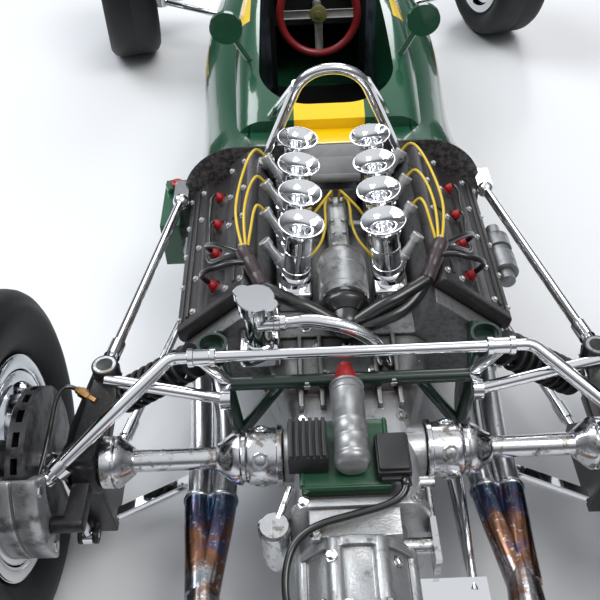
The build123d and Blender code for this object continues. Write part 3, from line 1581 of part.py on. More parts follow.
def tray_fittings():
    """The tray on the gearbox with its banded coil, the finned box and the plain box."""
    tray = block((tray_left, tray_right), (tray_rear_y, tray_front_y), (tray_z, tray_top))
    for x in (tray_left + 1.5 * tray_post_inset, tray_right - tray_post_inset):
        for y in (tray_rear_y + tray_post_inset, tray_front_y - tray_post_inset):
            tray += rod((x, y, gearbox_top), (x, y, tray_z), tray_post_radius)
    parts["electrics_tray"] = tray

    coil_z = tray_top + coil_radius
    body = [(distance, share * coil_radius) for distance, share in coil_profile]
    cap = [(body[-1][0] + distance, share * coil_radius) for distance, share in coil_cap_profile]
    parts["ignition_coil"] = turned((coil_x, coil_rear_y, coil_z), (0, 1, 0), body + cap)

    left_low = tray_left + box_margin
    left_high = coil_x - coil_radius - box_gap
    left_box = block((left_low, left_high), (left_box_rear_y, left_box_front_y), (tray_top, tray_top + left_box_height))
    fin_pitch = (left_high - left_low) / (left_box_fins + 0.5)
    for index in range(left_box_fins):
        low = left_low + (index + 0.5) * fin_pitch
        left_box -= block(
            (low, low + fin_pitch / 2),
            (left_box_rear_y - 1, left_box_front_y + 1),
            (tray_top + left_box_height - left_box_fin_depth, tray_top + left_box_height + 1),
        )
    right_low = coil_x + coil_radius + box_gap
    right_high = tray_right - box_margin
    right_box = block(
        (right_low, right_high), (right_box_rear_y, right_box_front_y), (tray_top, tray_top + right_box_height))
    right_box += block(
        (right_low + box_margin, right_high - box_margin),
        (right_box_rear_y - box_gap, right_box_rear_y),
        (tray_top + box_margin, tray_top + right_box_height / 2),
    )
    parts["ignition_boxes"] = Compound([left_box, right_box])


def oil_filler():
    """The filler beside the gearbox end of the engine, with its two-eared cap and chrome hose."""
    cap_low = filler_cap_top - filler_cap_height
    filler = rod((filler_x, filler_y, cap_low), (filler_x, filler_y, filler_cap_top), filler_cap_radius)
    for side in (-1, 1):
        x = filler_x + side * filler_ear_reach * 0.8
        y = filler_y - side * filler_ear_reach * 0.6
        filler += rod((x, y, cap_low), (x, y, filler_cap_top), filler_ear_radius)
    flange_low = cap_low - filler_cap_height
    filler += rod((filler_x, filler_y, flange_low), (filler_x, filler_y, cap_low), filler_flange_radius)
    filler += rod((filler_x, filler_y, filler_neck_base), (filler_x, filler_y, flange_low), filler_neck_radius)
    filler += block(
        (filler_x - filler_foot_half, filler_x + filler_foot_half),
        (filler_y - filler_neck_radius, engine_rear_y),
        (filler_neck_base - 2 * filler_cap_height, filler_neck_base + 1),
    )
    outlet = filler_hose_route[0]
    filler += rod((filler_x, filler_y - 1.0, filler_outlet_z), outlet, filler_outlet_radius)
    for name in ("rear_frame", "engine_block", "cam_covers", "gearbox"):
        filler -= parts[name]
    parts["oil_filler"] = filler
    hose = bent_tube(filler_hose_route, filler_hose_radius, hose_bends(filler_hose_route))
    parts["filler_hose"] = hose - filler


def hose_bends(route):
    """The arc at each inner point of a route, as large as its two runs allow."""
    radii = []
    for before, here, after in zip(route, route[1:], route[2:]):
        arriving = Vector(*here) - Vector(*before)
        leaving = Vector(*after) - Vector(*here)
        turn = math.radians(arriving.get_angle(leaving))
        shorter = min(arriving.length, leaving.length)
        radii.append(0.45 * shorter / math.tan(turn / 2))
    return radii


def side_fittings():
    """The catch tank and canister on the left, the pump, selector and exhaust hanger on the right."""
    tank = block(
        (-catch_tank_outer_x, -catch_tank_inner_x),
        (catch_tank_rear_y, catch_tank_front_y),
        (catch_tank_bottom, catch_tank_top),
    )
    cap_x = -catch_tank_outer_x + catch_cap_radius + seat_gap
    cap_y = catch_tank_front_y - 2 * catch_cap_radius
    tank += rod((cap_x, cap_y, catch_tank_top), (cap_x, cap_y, catch_tank_top + catch_cap_height), catch_cap_radius)
    tank -= block(
        (-catch_tank_outer_x + catch_tank_step, 0),
        (catch_tank_rear_y - 1, bulkhead_y),
        (catch_tank_bottom - 1, catch_tank_top + 1),
    )
    parts["catch_tank"] = tank - body_solid() - parts["rear_links_left"]

    pump = turned((pump_x, pump_rear_y, pump_z), (0, 1, 0), pump_profile)
    bracket_y = pump_rear_y + pump_profile[2][0]
    pump += block(
        (head_outer_x - 2, pump_x),
        (bracket_y, bracket_y + pump_bracket_width),
        (pump_z - pump_bracket_thickness / 2, pump_z + pump_bracket_thickness / 2),
    )
    parts["coolant_pump"] = pump - parts["engine_block"] - parts["cam_covers"] - parts["rear_links_right"]

    canister_x = -(gearbox_half_width + split_flange_rim + canister_radius + seat_gap / 3)
    canister = turned(
        (canister_x, canister_y, canister_low),
        (0, 0, 1),
        (
            (0.0, canister_radius * 0.7),
            (2.0, canister_radius * 0.7),
            (2.0, canister_radius),
            (canister_high - canister_low - 1.4, canister_radius),
            (canister_high - canister_low - 1.4, canister_radius + canister_rim),
            (canister_high - canister_low - 0.4, canister_radius + canister_rim),
            (canister_high - canister_low, canister_radius),
        ),
    )
    canister += rod(
        (canister_x, canister_y, canister_high - 1),
        (-gearbox_half_width - canister_pipe_radius, tray_rear_y + tray_post_inset, gearbox_top - 1),
        canister_pipe_radius,
    )
    parts["oil_canister"] = canister - parts["gearbox"]

    lever_low = selector_lever_y - selector_lever_length / 2
    lever_high = selector_lever_y + selector_lever_length / 2
    boss_x = cluster_x + cluster_radius / 2
    selector = rod(
        (selector_x, selector_front_y, selector_rod_z),
        (selector_x, lever_high - 1, selector_rod_z - 0.8),
        selector_rod_radius,
    )
    selector += block(
        (selector_x - selector_lever_thickness / 2, selector_x + selector_lever_thickness / 2),
        (lever_low, lever_high),
        (selector_rod_z - selector_lever_height, selector_rod_z),
    )
    selector += disc_x(boss_x, selector_x, selector_lever_y, selector_rod_z - selector_lever_height / 2, 1.2)
    selector += disc_x(gearbox_half_width - 1, selector_x + 1, selector_front_y, selector_rod_z, 1.1)
    parts["selector"] = selector - parts["gearbox"]

    plate = block(
        (cluster_x + cluster_radius / 2, hanger_outer_x),
        (hanger_y - hanger_width / 2, hanger_y + hanger_width / 2),
        (hanger_z, hanger_z + hanger_thickness),
    )
    foot = (hanger_outer_x - 2, hanger_y, hanger_z + hanger_thickness / 2)
    strut_foot = (frame_foot_half_width, frame_top_y - frame_foot_setback, frame_bottom_z)
    strut_top = (frame_half_width, frame_top_y, frame_top_z)
    plate += rod(strut_foot, foot, hanger_rod_radius)
    plate += rod(between(strut_foot, strut_top, 0.3), foot, hanger_rod_radius)
    parts["exhaust_hanger"] = plate - parts["gearbox"] - parts["rear_frame"] - parts["rear_links_right"]


def hoses_and_lines():
    """Caps in the plug wells, the hoses and leads of the ignition, and the fuel lines."""
    outward = cover_plane(0).y_dir
    caps = Part()
    for index in range(cylinders_per_bank):
        foot = cover_plane(rear_cylinder_y + index * cylinder_pitch).origin
        bottom = foot + outward * (plug_well_height - plug_well_depth)
        caps += turned(bottom, outward, plug_cap_profile)
    parts["plug_caps"] = both_sides(caps)

    sleeve = rod(sleeve_front, sleeve_rear, sleeve_radius)
    sleeve += routed(upper_hose_route, ignition_hose_radius)
    sleeve += routed(rear_lead_route, plug_lead_radius)
    sleeve += routed(second_lead_route, plug_lead_radius)
    boot_y = distributor_rear_y - boot_profile[-1][0]
    hoses = both_sides(sleeve)
    hoses += turned((0, boot_y, valley_fitting_z), (0, 1, 0), boot_profile)
    hoses += routed(lower_hose_route, ignition_hose_radius)
    for name in ("cam_covers", "distributor", "plug_caps"):
        hoses -= parts[name]
    parts["ignition_hoses"] = hoses

    lines = Part()
    for route in outer_line_routes + valley_line_routes:
        lines += routed(route, fuel_line_radius)
    lines = both_sides(lines)
    for name in ("inlet_trumpets", "fuel_metering_unit", "ignition_hoses"):
        lines -= parts[name]
    parts["fuel_lines"] = lines


def routed(route, radius):
    """A round hose along a route; the bend radii are printed."""
    bends = hose_bends(route)
    print("bends", [round(bend, 1) for bend in bends])
    return bent_tube(route, radius, bends)


body_shell()
cockpit_pieces()
mirrors()
engine()
roll_hoop()
exhausts()
gearbox()
tube_frame()
roll_bar()
rear_suspension()
rear_wheels()
front_suspension()
front_wheels()
steering()
tray_fittings()
oil_filler()
side_fittings()
hoses_and_lines()

# The origin moves to the ground under the middle of the car's length
middle_y = (nose_tip_y + exhaust_sections[-1][0]) / 2
os.makedirs("parts", exist_ok=True)
for name, shape in parts.items():
    export_step(Pos(0, -middle_y, 0) * shape, f"parts/{name}.step")
print(len(parts), "pieces, origin", round(middle_y, 3), "mm ahead of the rear axle")
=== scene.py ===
import math

import bpy
from mathutils import Matrix, Vector
from mathutils.bvhtree import BVHTree


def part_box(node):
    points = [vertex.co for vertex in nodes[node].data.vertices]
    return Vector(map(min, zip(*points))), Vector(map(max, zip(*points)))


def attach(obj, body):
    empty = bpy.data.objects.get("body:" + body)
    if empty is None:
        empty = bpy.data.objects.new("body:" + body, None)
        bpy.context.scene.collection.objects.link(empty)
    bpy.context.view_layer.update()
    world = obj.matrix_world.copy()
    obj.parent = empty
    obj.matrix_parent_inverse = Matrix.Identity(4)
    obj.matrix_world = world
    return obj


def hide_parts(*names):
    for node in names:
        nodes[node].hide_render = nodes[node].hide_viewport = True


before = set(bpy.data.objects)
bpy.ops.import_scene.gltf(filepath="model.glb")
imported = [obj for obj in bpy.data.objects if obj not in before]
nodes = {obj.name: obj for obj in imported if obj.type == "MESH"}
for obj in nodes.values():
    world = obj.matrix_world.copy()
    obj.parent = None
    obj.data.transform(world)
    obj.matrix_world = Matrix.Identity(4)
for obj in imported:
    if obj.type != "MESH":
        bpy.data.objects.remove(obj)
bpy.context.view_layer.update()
print("frame loaded:", len(nodes), "nodes")

mm = 0.001
weldGap = 0.000004   # metres
discLow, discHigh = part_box("rear_disc_left")
rearAxleY = (discLow.y + discHigh.y) / 2 / mm
sides = (("left", -1), ("right", 1))
signs = (-1, 1)
upward = (0, 0, 1)
forward = (0, 1, 0)


def spot(x, y, z):
    # lengths in this file are mm, with Y counted from the rear axle
    return Vector((x, y + rearAxleY, z)) * mm


def sideSpot(sign, point):
    return spot(sign * point[0], point[1], point[2])


def rgb(red, green, blue):
    return (red, green, blue, 1.0)


def setStops(ramp, stops):
    while len(ramp.elements) < len(stops):
        ramp.elements.new(0.5)
    for element, (place, colour) in zip(ramp.elements, stops):
        element.position = place
        element.color = colour


class Channel:
    # one value in a material, which takes plain sums
    def __init__(self, finish, socket):
        self.finish = finish
        self.socket = socket

    def __add__(self, other):
        return self.finish.maths("ADD", self, other)

    __radd__ = __add__

    def __sub__(self, other):
        return self.finish.maths("SUBTRACT", self, other)

    def __rsub__(self, other):
        return self.finish.maths("SUBTRACT", other, self)

    def __mul__(self, other):
        return self.finish.maths("MULTIPLY", self, other)

    __rmul__ = __mul__

    def __truediv__(self, other):
        return self.finish.maths("DIVIDE", self, other)

    def __gt__(self, other):
        return self.finish.maths("GREATER_THAN", self, other)

    def __lt__(self, other):
        return self.finish.maths("LESS_THAN", self, other)

    def __abs__(self):
        return self.finish.maths("ABSOLUTE", self)


class Finish:
    def __init__(self, name, constants):
        self.material = bpy.data.materials.new(name)
        self.material.use_nodes = True
        self.tree = self.material.node_tree
        self.shader = self.tree.nodes["Principled BSDF"]
        for socketName, value in constants.items():
            self.shader.inputs[socketName].default_value = value
        self.place = self.node("ShaderNodeTexCoord", {}, {}, "Object")
        split = self.node("ShaderNodeSeparateXYZ", {}, {"Vector": self.place}, "X")
        self.x = split / mm
        self.y = Channel(self, split.socket.node.outputs["Y"]) / mm - rearAxleY
        self.z = Channel(self, split.socket.node.outputs["Z"]) / mm

    def node(self, kind, settings, inputs, output=0):
        made = self.tree.nodes.new(kind)
        for key, value in settings.items():
            if key == "stops":
                setStops(made.color_ramp, value)
            else:
                setattr(made, key, value)
        for key, value in inputs.items():
            if isinstance(value, Channel):
                self.tree.links.new(value.socket, made.inputs[key])
            else:
                made.inputs[key].default_value = value
        return Channel(self, made.outputs[output])

    def maths(self, operation, *values):
        return self.node("ShaderNodeMath", {"operation": operation}, dict(enumerate(values)))

    def most(self, first, *others):
        for other in others:
            first = self.maths("MAXIMUM", first, other)
        return first

    def soft(self, value, low, high):
        # 0 below low, 1 above high, smooth between
        return self.node("ShaderNodeMapRange", {"interpolation_type": "SMOOTHSTEP"},
                         {"Value": value, "From Min": low, "From Max": high})

    def band(self, value, low, high, edge=0.12):
        return self.soft(value, low - edge, low + edge) * (1 - self.soft(value, high - edge, high + edge))

    def noise(self, perMm, detail=3.0, rough=0.55):
        return self.node("ShaderNodeTexNoise", {}, {"Vector": self.place, "Scale": perMm / mm,
                                                    "Detail": detail, "Roughness": rough})

    def creviceShade(self, reachMm, low, high):
        # painted shade from ambient occlusion: 1 in corners and under bolts, 0 on open faces
        shade = self.node("ShaderNodeAmbientOcclusion", {"samples": 6}, {"Distance": reachMm * mm}, "AO")
        return 1 - self.soft(shade, low, high)

    def tint(self, mask, first, second):
        return self.node("ShaderNodeMix", {"data_type": "RGBA"}, {0: mask, 6: first, 7: second}, 2)

    def feed(self, socketName, value):
        self.tree.links.new(value.socket, self.shader.inputs[socketName])

    def bump(self, height, depthMm, strength):
        made = self.node("ShaderNodeBump", {}, {"Height": height, "Distance": depthMm * mm, "Strength": strength})
        self.feed("Normal", made)


finishes = {}


def finish(name, constants):
    made = Finish(name, constants)
    finishes[name] = made
    return made


# body paint: stripes, shut lines, the seal and bulkhead behind, and the cockpit's lining
bodyPaint = {
    "green": rgb(0.012, 0.080, 0.040), "paleGreen": rgb(0.016, 0.095, 0.048), "yellow": rgb(1.0, 0.66, 0.005),
    "seal": rgb(0.004, 0.005, 0.005), "lining": rgb(0.075, 0.090, 0.125), "liningShaded": rgb(0.012, 0.014, 0.020),
    "liningLow": rgb(0.006, 0.006, 0.007), "plate": rgb(0.16, 0.165, 0.165), "platePale": rgb(0.26, 0.265, 0.265),
    # the skirt colours are raised to lift the shadow it lies in: painted light
    "skirt": rgb(0.045, 0.042, 0.043), "skirtPale": rgb(0.150, 0.140, 0.142),
    "stripeHalf": 7.5, "deckY": 79.0, "deckZ": 38.0, "noseY": 150.0, "noseZ": 30.0,
    "cheekY": 111.8, "cheekX": 18.5, "cheekHalf": 0.9, "cheekRound": 0.16, "cheekZ": 42.0,
    "flankZ": (33.7, 34.9), "flankY": (112.0, 150.0), "flankX": 20.0,
    "shutLineX": (16.9, 17.32), "shutLineY": (64.0, 74.0), "jointY": (223.8, 224.2), "grooveY": (73.55, 73.85),
    "grooveZ": 30.0, "sealY": 66.45, "bulkheadY": 66.03, "bulkheadZ": 43.2, "plateHalf": 9.6,
    "openingY": (77.5, 146.5), "openingHalf": 14.72, "sillY": 74.0, "sillZ": 42.6, "sillSlope": 0.22,
    "sillTop": 46.8, "wallX": 13.4, "wallLow": 14.0, "wallTop": 44.0,
}


def paintBody():
    size = bodyPaint
    made = finish("bodyPaint", {"Coat Weight": 1.0, "Coat Roughness": 0.05, "Specular IOR Level": 0.4})
    x, y, z = made.x, made.y, made.z
    across = abs(x)
    sill = made.maths("MINIMUM", size["sillZ"] + (y - size["sillY"]) * size["sillSlope"], size["sillTop"])
    inside = made.band(y, *size["openingY"], 0.2) * (across < size["openingHalf"]) * (z < sill)
    stripe = across < size["stripeHalf"]
    deck = stripe * (y < size["deckY"]) * (y > size["sealY"]) * (z > size["deckZ"])
    nose = stripe * (y > size["noseY"]) * (z > size["noseZ"])
    short = made.most(size["cheekY"] - y, 0.0)
    off = made.most(abs(across - size["cheekX"]) - size["cheekHalf"], 0.0)
    cheek = (short * short + off * off < size["cheekRound"]) * (y < size["noseY"]) * (z > size["cheekZ"])
    flank = made.band(z, *size["flankZ"]) * made.band(y, *size["flankY"], 0.6) * (across > size["flankX"])
    mottle = made.noise(0.25, 4.0)
    green = made.tint(mottle, size["green"], size["paleGreen"])
    coat = made.tint(made.most(deck, nose, cheek, flank), green, size["yellow"])
    lines = made.band(across, *size["shutLineX"], 0.06) * made.band(y, *size["shutLineY"])
    joint = made.band(y, *size["jointY"], 0.06)
    groove = made.band(y, *size["grooveY"], 0.05) * (z > size["grooveZ"]) * (across > size["stripeHalf"])
    seal = y < size["sealY"]
    dark = made.most(lines, seal, joint, groove)
    coat = made.tint(dark, coat, size["seal"])
    behind = (y < size["bulkheadY"]) * (z < size["bulkheadZ"])
    plate = made.tint(made.noise(0.5, 4.0), size["plate"], size["platePale"])
    # painted light, in part: the skirt beside the cam covers is grey with pale specks, and its colours are raised
    # to lift the shadow it lies in
    skirt = made.tint(made.soft(made.noise(1.1, 5.0, 0.7), 0.40, 0.62), size["skirt"], size["skirtPale"])
    coat = made.tint(behind, coat, made.tint(across < size["plateHalf"], skirt, plate))
    side = (across > size["wallX"]) * (z > size["wallLow"]) * (z < size["wallTop"])
    # painted shade: large random patches darken the lining on the cockpit walls
    wall = made.tint(made.soft(made.noise(0.12, 2.0), 0.35, 0.65), size["lining"], size["liningShaded"])
    made.feed("Base Color", made.tint(inside, coat, made.tint(side, size["liningLow"], wall)))
    made.feed("Roughness", 0.20 + inside * 0.40 + mottle * 0.06 + seal * 0.25)
    made.feed("Coat Weight", (1 - inside) * (1 - seal))
    made.bump(made.noise(0.9, 2.0) * 0.4 - dark, 0.05, 0.25)


mirrorGlassY = 91.6


def paintMirrors():
    made = finish("mirrorShell", {"Coat Weight": 0.8, "Coat Roughness": 0.05})
    patch = made.noise(0.5)
    made.feed("Base Color", made.tint(patch, bodyPaint["green"], rgb(0.012, 0.10, 0.045)))
    made.feed("Roughness", 0.22 + patch * 0.06 - (made.y < mirrorGlassY) * 0.05)


def plating():
    made = finish("chromePlating", {"Metallic": 1.0, "Base Color": rgb(0.86, 0.87, 0.89)})
    made.feed("Roughness", 0.05 + made.soft(made.noise(0.35, 4.0, 0.6), 0.5, 0.8) * 0.12)
    made.bump(made.noise(0.18, 2.0), 0.04, 0.25)
    worn = finish("wornPlating", {"Metallic": 1.0})
    dirt = worn.noise(0.5, 6.0, 0.65)
    worn.feed("Base Color", worn.tint(worn.soft(dirt, 0.5, 0.66), rgb(0.70, 0.71, 0.73), rgb(0.24, 0.21, 0.18)))
    worn.feed("Roughness", 0.14 + worn.soft(dirt, 0.42, 0.7) * 0.32)
    worn.bump(dirt, 0.05, 0.4)


castMetal = {"dull": rgb(0.36, 0.37, 0.38), "bright": rgb(0.60, 0.61, 0.62)}


def castings():
    gear = finish("gearCasting", {})
    grain = gear.noise(2.4, 4.0, 0.7)
    blotch = gear.noise(0.34, 5.0, 0.66)
    # dark blotches of dirt, with painted shade in the crevices, which also stands for the casting's black wash
    # there
    grimeAndShade = gear.most(gear.soft(blotch, 0.55, 0.72) * 0.7, gear.creviceShade(2.2, 0.35, 0.9))
    tone = gear.tint(grain, castMetal["dull"], castMetal["bright"])
    # painted shade, in part: darker from 2 to 7 mm ahead of the axle, for the bell housing's own darker grey and
    # the shade it sits in
    tone = gear.tint(gear.soft(gear.y, 2.0, 7.0) * 0.55, tone, rgb(0.10, 0.10, 0.10))
    gear.feed("Base Color", gear.tint(grimeAndShade, tone, rgb(0.060, 0.046, 0.036)))
    gear.feed("Metallic", 0.80 - grimeAndShade * 0.5)
    gear.feed("Roughness", 0.28 + grimeAndShade * 0.26 + grain * 0.10)
    gear.bump(grain + blotch * 1.6, 0.12, 0.5)
    dark = finish("engineCasting", {})
    blotch = dark.noise(0.9, 4.0, 0.6)
    grain = dark.noise(2.0, 4.0, 0.7)
    # dark blotches of soot, with painted shade in the crevices
    sootAndShade = dark.most(dark.soft(blotch, 0.40, 0.85) * 0.8, dark.creviceShade(1.8, 0.4, 0.95))
    pale = dark.tint(grain, rgb(0.17, 0.17, 0.175), rgb(0.32, 0.32, 0.33))
    dark.feed("Base Color", dark.tint(sootAndShade, pale, rgb(0.028, 0.027, 0.025)))
    dark.feed("Metallic", 0.7 - sootAndShade * 0.4)
    dark.feed("Roughness", 0.36 + blotch * 0.2)
    dark.bump(grain, 0.12, 0.5)
    silver = finish("silverCasting", {})
    grain = silver.noise(1.8, 5.0, 0.68)
    # dark patches, with painted shade in the crevices
    patch = silver.most(silver.soft(silver.noise(0.3, 4.0), 0.45, 0.7), silver.creviceShade(1.2, 0.35, 0.9))
    tone = silver.tint(grain, castMetal["dull"], castMetal["bright"])
    silver.feed("Base Color", silver.tint(patch, tone, rgb(0.12, 0.12, 0.12)))
    silver.feed("Metallic", 0.75 - patch * 0.2)
    silver.feed("Roughness", 0.34 + patch * 0.12 + grain * 0.06)
    silver.bump(grain, 0.08, 0.4)
    black = finish("blackCasting", {})
    grain = black.noise(1.8, 4.0, 0.7)
    speck = black.soft(grain, 0.5, 0.75)
    black.feed("Base Color", black.tint(speck, rgb(0.007, 0.007, 0.008), rgb(0.035, 0.035, 0.037)))
    black.feed("Roughness", 0.28 + grain * 0.2)
    black.bump(grain, 0.08, 0.5)
    cover = finish("camCoverBlack", {"Coat Weight": 0.15, "Coat Roughness": 0.25})
    grain = cover.noise(1.4, 5.0, 0.68)
    rubbed = cover.soft(cover.noise(0.8, 6.0, 0.72), 0.60, 0.72)
    base = cover.tint(grain, rgb(0.018, 0.016, 0.017), rgb(0.070, 0.064, 0.066))
    worn = cover.tint(rubbed, base, rgb(0.16, 0.155, 0.155))
    # painted shade: the crevices go near black
    cover.feed("Base Color", cover.tint(cover.creviceShade(1.0, 0.35, 0.85), worn, rgb(0.006, 0.006, 0.006)))
    cover.feed("Metallic", 0.30 + rubbed * 0.3)
    cover.feed("Roughness", 0.32 + grain * 0.22)
    cover.bump(grain, 0.12, 0.7)


plainFinishes = {
    # constants, two colours, the noise between them, roughness and its spread, bump depth and strength, and
    # the bump's own noise
    "tyreVinyl": ({"Specular IOR Level": 0.35}, (0.005, 0.005, 0.006), (0.013, 0.013, 0.014), (1.2, 4.0),
                  (0.46, 0.16), (0.05, 0.35), None),
    "seatBlack": ({}, (0.006, 0.006, 0.007), (0.02, 0.02, 0.021), (1.6, 5.0), (0.5, 0.2), (0.06, 0.5), None),
    "satinBlack": ({}, (0.006, 0.006, 0.007), (0.020, 0.020, 0.022), (1.1, 4.0), (0.36, 0.2), (0.05, 0.4), None),
    "hoseBlack": ({"Coat Weight": 0.7, "Coat Roughness": 0.12}, (0.003, 0.003, 0.003), (0.010, 0.010, 0.010),
                  (0.8, 3.0), (0.24, 0.16), (0.03, 0.3), None),
    "sleeveBrown": ({"Coat Weight": 0.3}, (0.018, 0.010, 0.013), (0.060, 0.034, 0.040), (0.5, 4.0), (0.34, 0.2),
                    (0.06, 0.6), (2.6, 3.0)),
    # painted shade, in part: frameGreen is the frame's own darker green, made near black for the shade it lies in
    "frameGreen": ({"Coat Weight": 0.8, "Coat Roughness": 0.08}, (0.002, 0.014, 0.008), (0.004, 0.030, 0.016),
                   (0.5, 4.0), (0.24, 0.16), None, None),
    "coilShell": ({"Coat Weight": 0.2}, (0.24, 0.245, 0.25), (0.44, 0.445, 0.45), (0.8, 4.0), (0.28, 0.16),
                  (0.04, 0.3), None),
    "trayGreen": ({"Coat Weight": 0.4}, (0.005, 0.045, 0.020), (0.012, 0.10, 0.042), (0.6, 5.0), (0.32, 0.2),
                  None, None),
    "plugRed": ({}, (0.30, 0.007, 0.010), (0.46, 0.014, 0.016), (1.0, 3.0), (0.35, 0.1), None, None),
    "lineYellow": ({"Coat Weight": 0.3}, (0.66, 0.44, 0.015), (0.84, 0.60, 0.03), (0.4, 3.0), (0.32, 0.1),
                   None, None),
    "satinGrey": ({"Metallic": 0.35}, (0.15, 0.155, 0.155), (0.27, 0.275, 0.275), (0.5, 5.0, 0.6), (0.42, 0.16),
                  (0.04, 0.3), (1.6, 3.0)),
    "satinNickel": ({"Metallic": 0.7}, (0.60, 0.61, 0.62), (0.82, 0.83, 0.84), (0.9, 4.0), (0.26, 0.14),
                    (0.03, 0.3), None),
    "brassFitting": ({"Metallic": 1.0}, (0.42, 0.20, 0.08), (0.62, 0.38, 0.16), (0.8, 4.0), (0.26, 0.2),
                     None, None),
    "wheelRed": ({"Coat Weight": 0.3}, (0.20, 0.008, 0.014), (0.32, 0.016, 0.022), (0.9, 4.0), (0.30, 0.14),
                 (0.04, 0.4), None),
    "spokeGrey": ({"Coat Weight": 0.3, "Metallic": 0.7}, (0.26, 0.255, 0.24), (0.42, 0.41, 0.39), (0.9, 4.0),
                  (0.34, 0.14), (0.04, 0.4), None),
    "hubOlive": ({"Coat Weight": 0.3}, (0.10, 0.095, 0.025), (0.20, 0.18, 0.06), (0.9, 4.0), (0.42, 0.14),
                 (0.04, 0.4), None),
}


def makePlainFinishes():
    for name, (constants, low, high, noise, gloss, depth, weave) in plainFinishes.items():
        made = finish(name, constants)
        patch = made.noise(*noise)
        made.feed("Base Color", made.tint(patch, rgb(*low), rgb(*high)))
        made.feed("Roughness", gloss[0] + patch * gloss[1])
        if depth:
            made.bump(made.noise(*weave) if weave else patch, *depth)
        if name == "coilShell":
            made.feed("Metallic", 0.75 - patch * 0.2)


stained = {"axleZ": 28.4, "grooves": 9.0, "burntFrom": -1.8, "burntLong": 26.0, "stops": (
    (0.00, rgb(0.16, 0.24, 0.38)), (0.22, rgb(0.17, 0.15, 0.26)), (0.40, rgb(0.38, 0.18, 0.10)),
    (0.58, rgb(0.27, 0.14, 0.09)), (0.78, rgb(0.44, 0.43, 0.44)), (1.00, rgb(0.24, 0.30, 0.36)))}


def stainedFinishes():
    steel = finish("discSteel", {"Metallic": 1.0})
    out = steel.noise(0.25, 4.0)
    rise = steel.z - stained["axleZ"]
    away = steel.maths("SQRT", steel.y * steel.y + rise * rise)
    # dark stains, with painted shade in the crevices
    stainAndShade = steel.most(steel.soft(out, 0.40, 0.66), steel.creviceShade(1.0, 0.4, 0.95))
    steel.feed("Base Color", steel.tint(stainAndShade, rgb(0.20, 0.20, 0.21), rgb(0.035, 0.034, 0.034)))
    steel.feed("Roughness", 0.34 + out * 0.16)
    steel.bump(steel.maths("SINE", away * stained["grooves"]) * 0.5 + steel.noise(3.0, 2.0), 0.03, 0.5)
    heat = finish("exhaustPlate", {"Metallic": 1.0})
    patch = heat.noise(0.20, 5.0, 0.6)
    fine = heat.noise(0.9, 5.0, 0.7)
    behind = stained["burntFrom"] - heat.y
    burnt = heat.soft(behind, 0.0, 0.6) * (1 - heat.soft(behind, 20.0, 48.0) * 0.75)
    along = behind / stained["burntLong"] + (patch - 0.5) * 1.6
    colour = heat.node("ShaderNodeValToRGB", {"stops": stained["stops"]}, {"Fac": along})
    clean = heat.tint(heat.soft(fine, 0.55, 0.75), rgb(0.72, 0.73, 0.75), rgb(0.34, 0.34, 0.35))
    scratched = heat.tint(heat.soft(fine, 0.56, 0.66), colour, rgb(0.62, 0.62, 0.63))
    heat.feed("Base Color", heat.tint(burnt, clean, scratched))
    heat.feed("Roughness", 0.20 - burnt * 0.04 + fine * 0.10)
    heat.bump(heat.noise(0.22, 3.0) + fine * 0.3, 0.05, 0.4)
    screen = finish("clearScreen", {"Transmission Weight": 0.92, "IOR": 1.46, "Base Color": rgb(0.94, 0.97, 0.97)})
    screen.feed("Roughness", 0.03 + screen.noise(0.4) * 0.03)


paintBody()
paintMirrors()
plating()
castings()
makePlainFinishes()
stainedFinishes()

finishOf = {
    "bodyPaint": ("tub", "nose_cone", "cockpit_surround"),
    "mirrorShell": ("mirrors", "catch_tank"),
    "chromePlating": ("roll_hoop", "anti_roll_bar", "inlet_trumpets", "rear_links_left", "rear_links_right",
                      "front_links_left", "front_links_right", "rear_rim_left", "rear_rim_right",
                      "front_rim_left", "front_rim_right", "filler_hose", "oil_filler", "exhaust_hanger",
                      "track_rods"),
    "plugRed": ("plug_caps",),
    "lineYellow": ("fuel_lines",),
    "hoseBlack": ("ignition_hoses",),
    "wornPlating": ("driveshaft_left", "driveshaft_right", "selector", "oil_canister", "steering_rack"),
    "silverCasting": ("rear_calipers", "front_caliper_left", "front_caliper_right", "coolant_pump",
                      "fuel_metering_unit"),
    "gearCasting": ("gearbox",),
    "engineCasting": ("engine_block",),
    "blackCasting": ("rear_uprights", "front_knuckle_left", "front_knuckle_right"),
    "camCoverBlack": ("cam_covers",),
    "tyreVinyl": ("rear_tyre_left", "rear_tyre_right", "front_tyre_left", "front_tyre_right"),
    "seatBlack": ("seat", "dash_panel"),
    "satinBlack": ("radiator", "distributor", "ignition_boxes", "spring_dampers"),
    "frameGreen": ("rear_frame",),
    "trayGreen": ("electrics_tray",),
    "discSteel": ("rear_disc_left", "rear_disc_right", "front_disc_left", "front_disc_right"),
    "exhaustPlate": ("exhaust_left", "exhaust_right"),
    "coilShell": ("ignition_coil",),
    "clearScreen": ("windscreen",),
    "wheelRed": ("steering_wheel",),
}


def wear(piece, finishName):
    piece.data.materials.clear()
    piece.data.materials.append(finishes[finishName].material)


for finishName, names in finishOf.items():
    for name in names:
        wear(nodes[name], finishName)
print("finishes made")


# modelling helpers
def clearSelection():
    if bpy.context.object and bpy.context.object.mode != "OBJECT":
        bpy.ops.object.mode_set(mode="OBJECT")
    bpy.ops.object.select_all(action="DESELECT")


def pick(piece):
    clearSelection()
    piece.select_set(True)
    bpy.context.view_layer.objects.active = piece


def startEdit():
    bpy.ops.object.mode_set(mode="EDIT")
    bpy.ops.mesh.select_all(action="SELECT")


def endEdit():
    bpy.ops.mesh.select_all(action="SELECT")
    bpy.ops.mesh.normals_make_consistent(inside=False)
    bpy.ops.object.mode_set(mode="OBJECT")


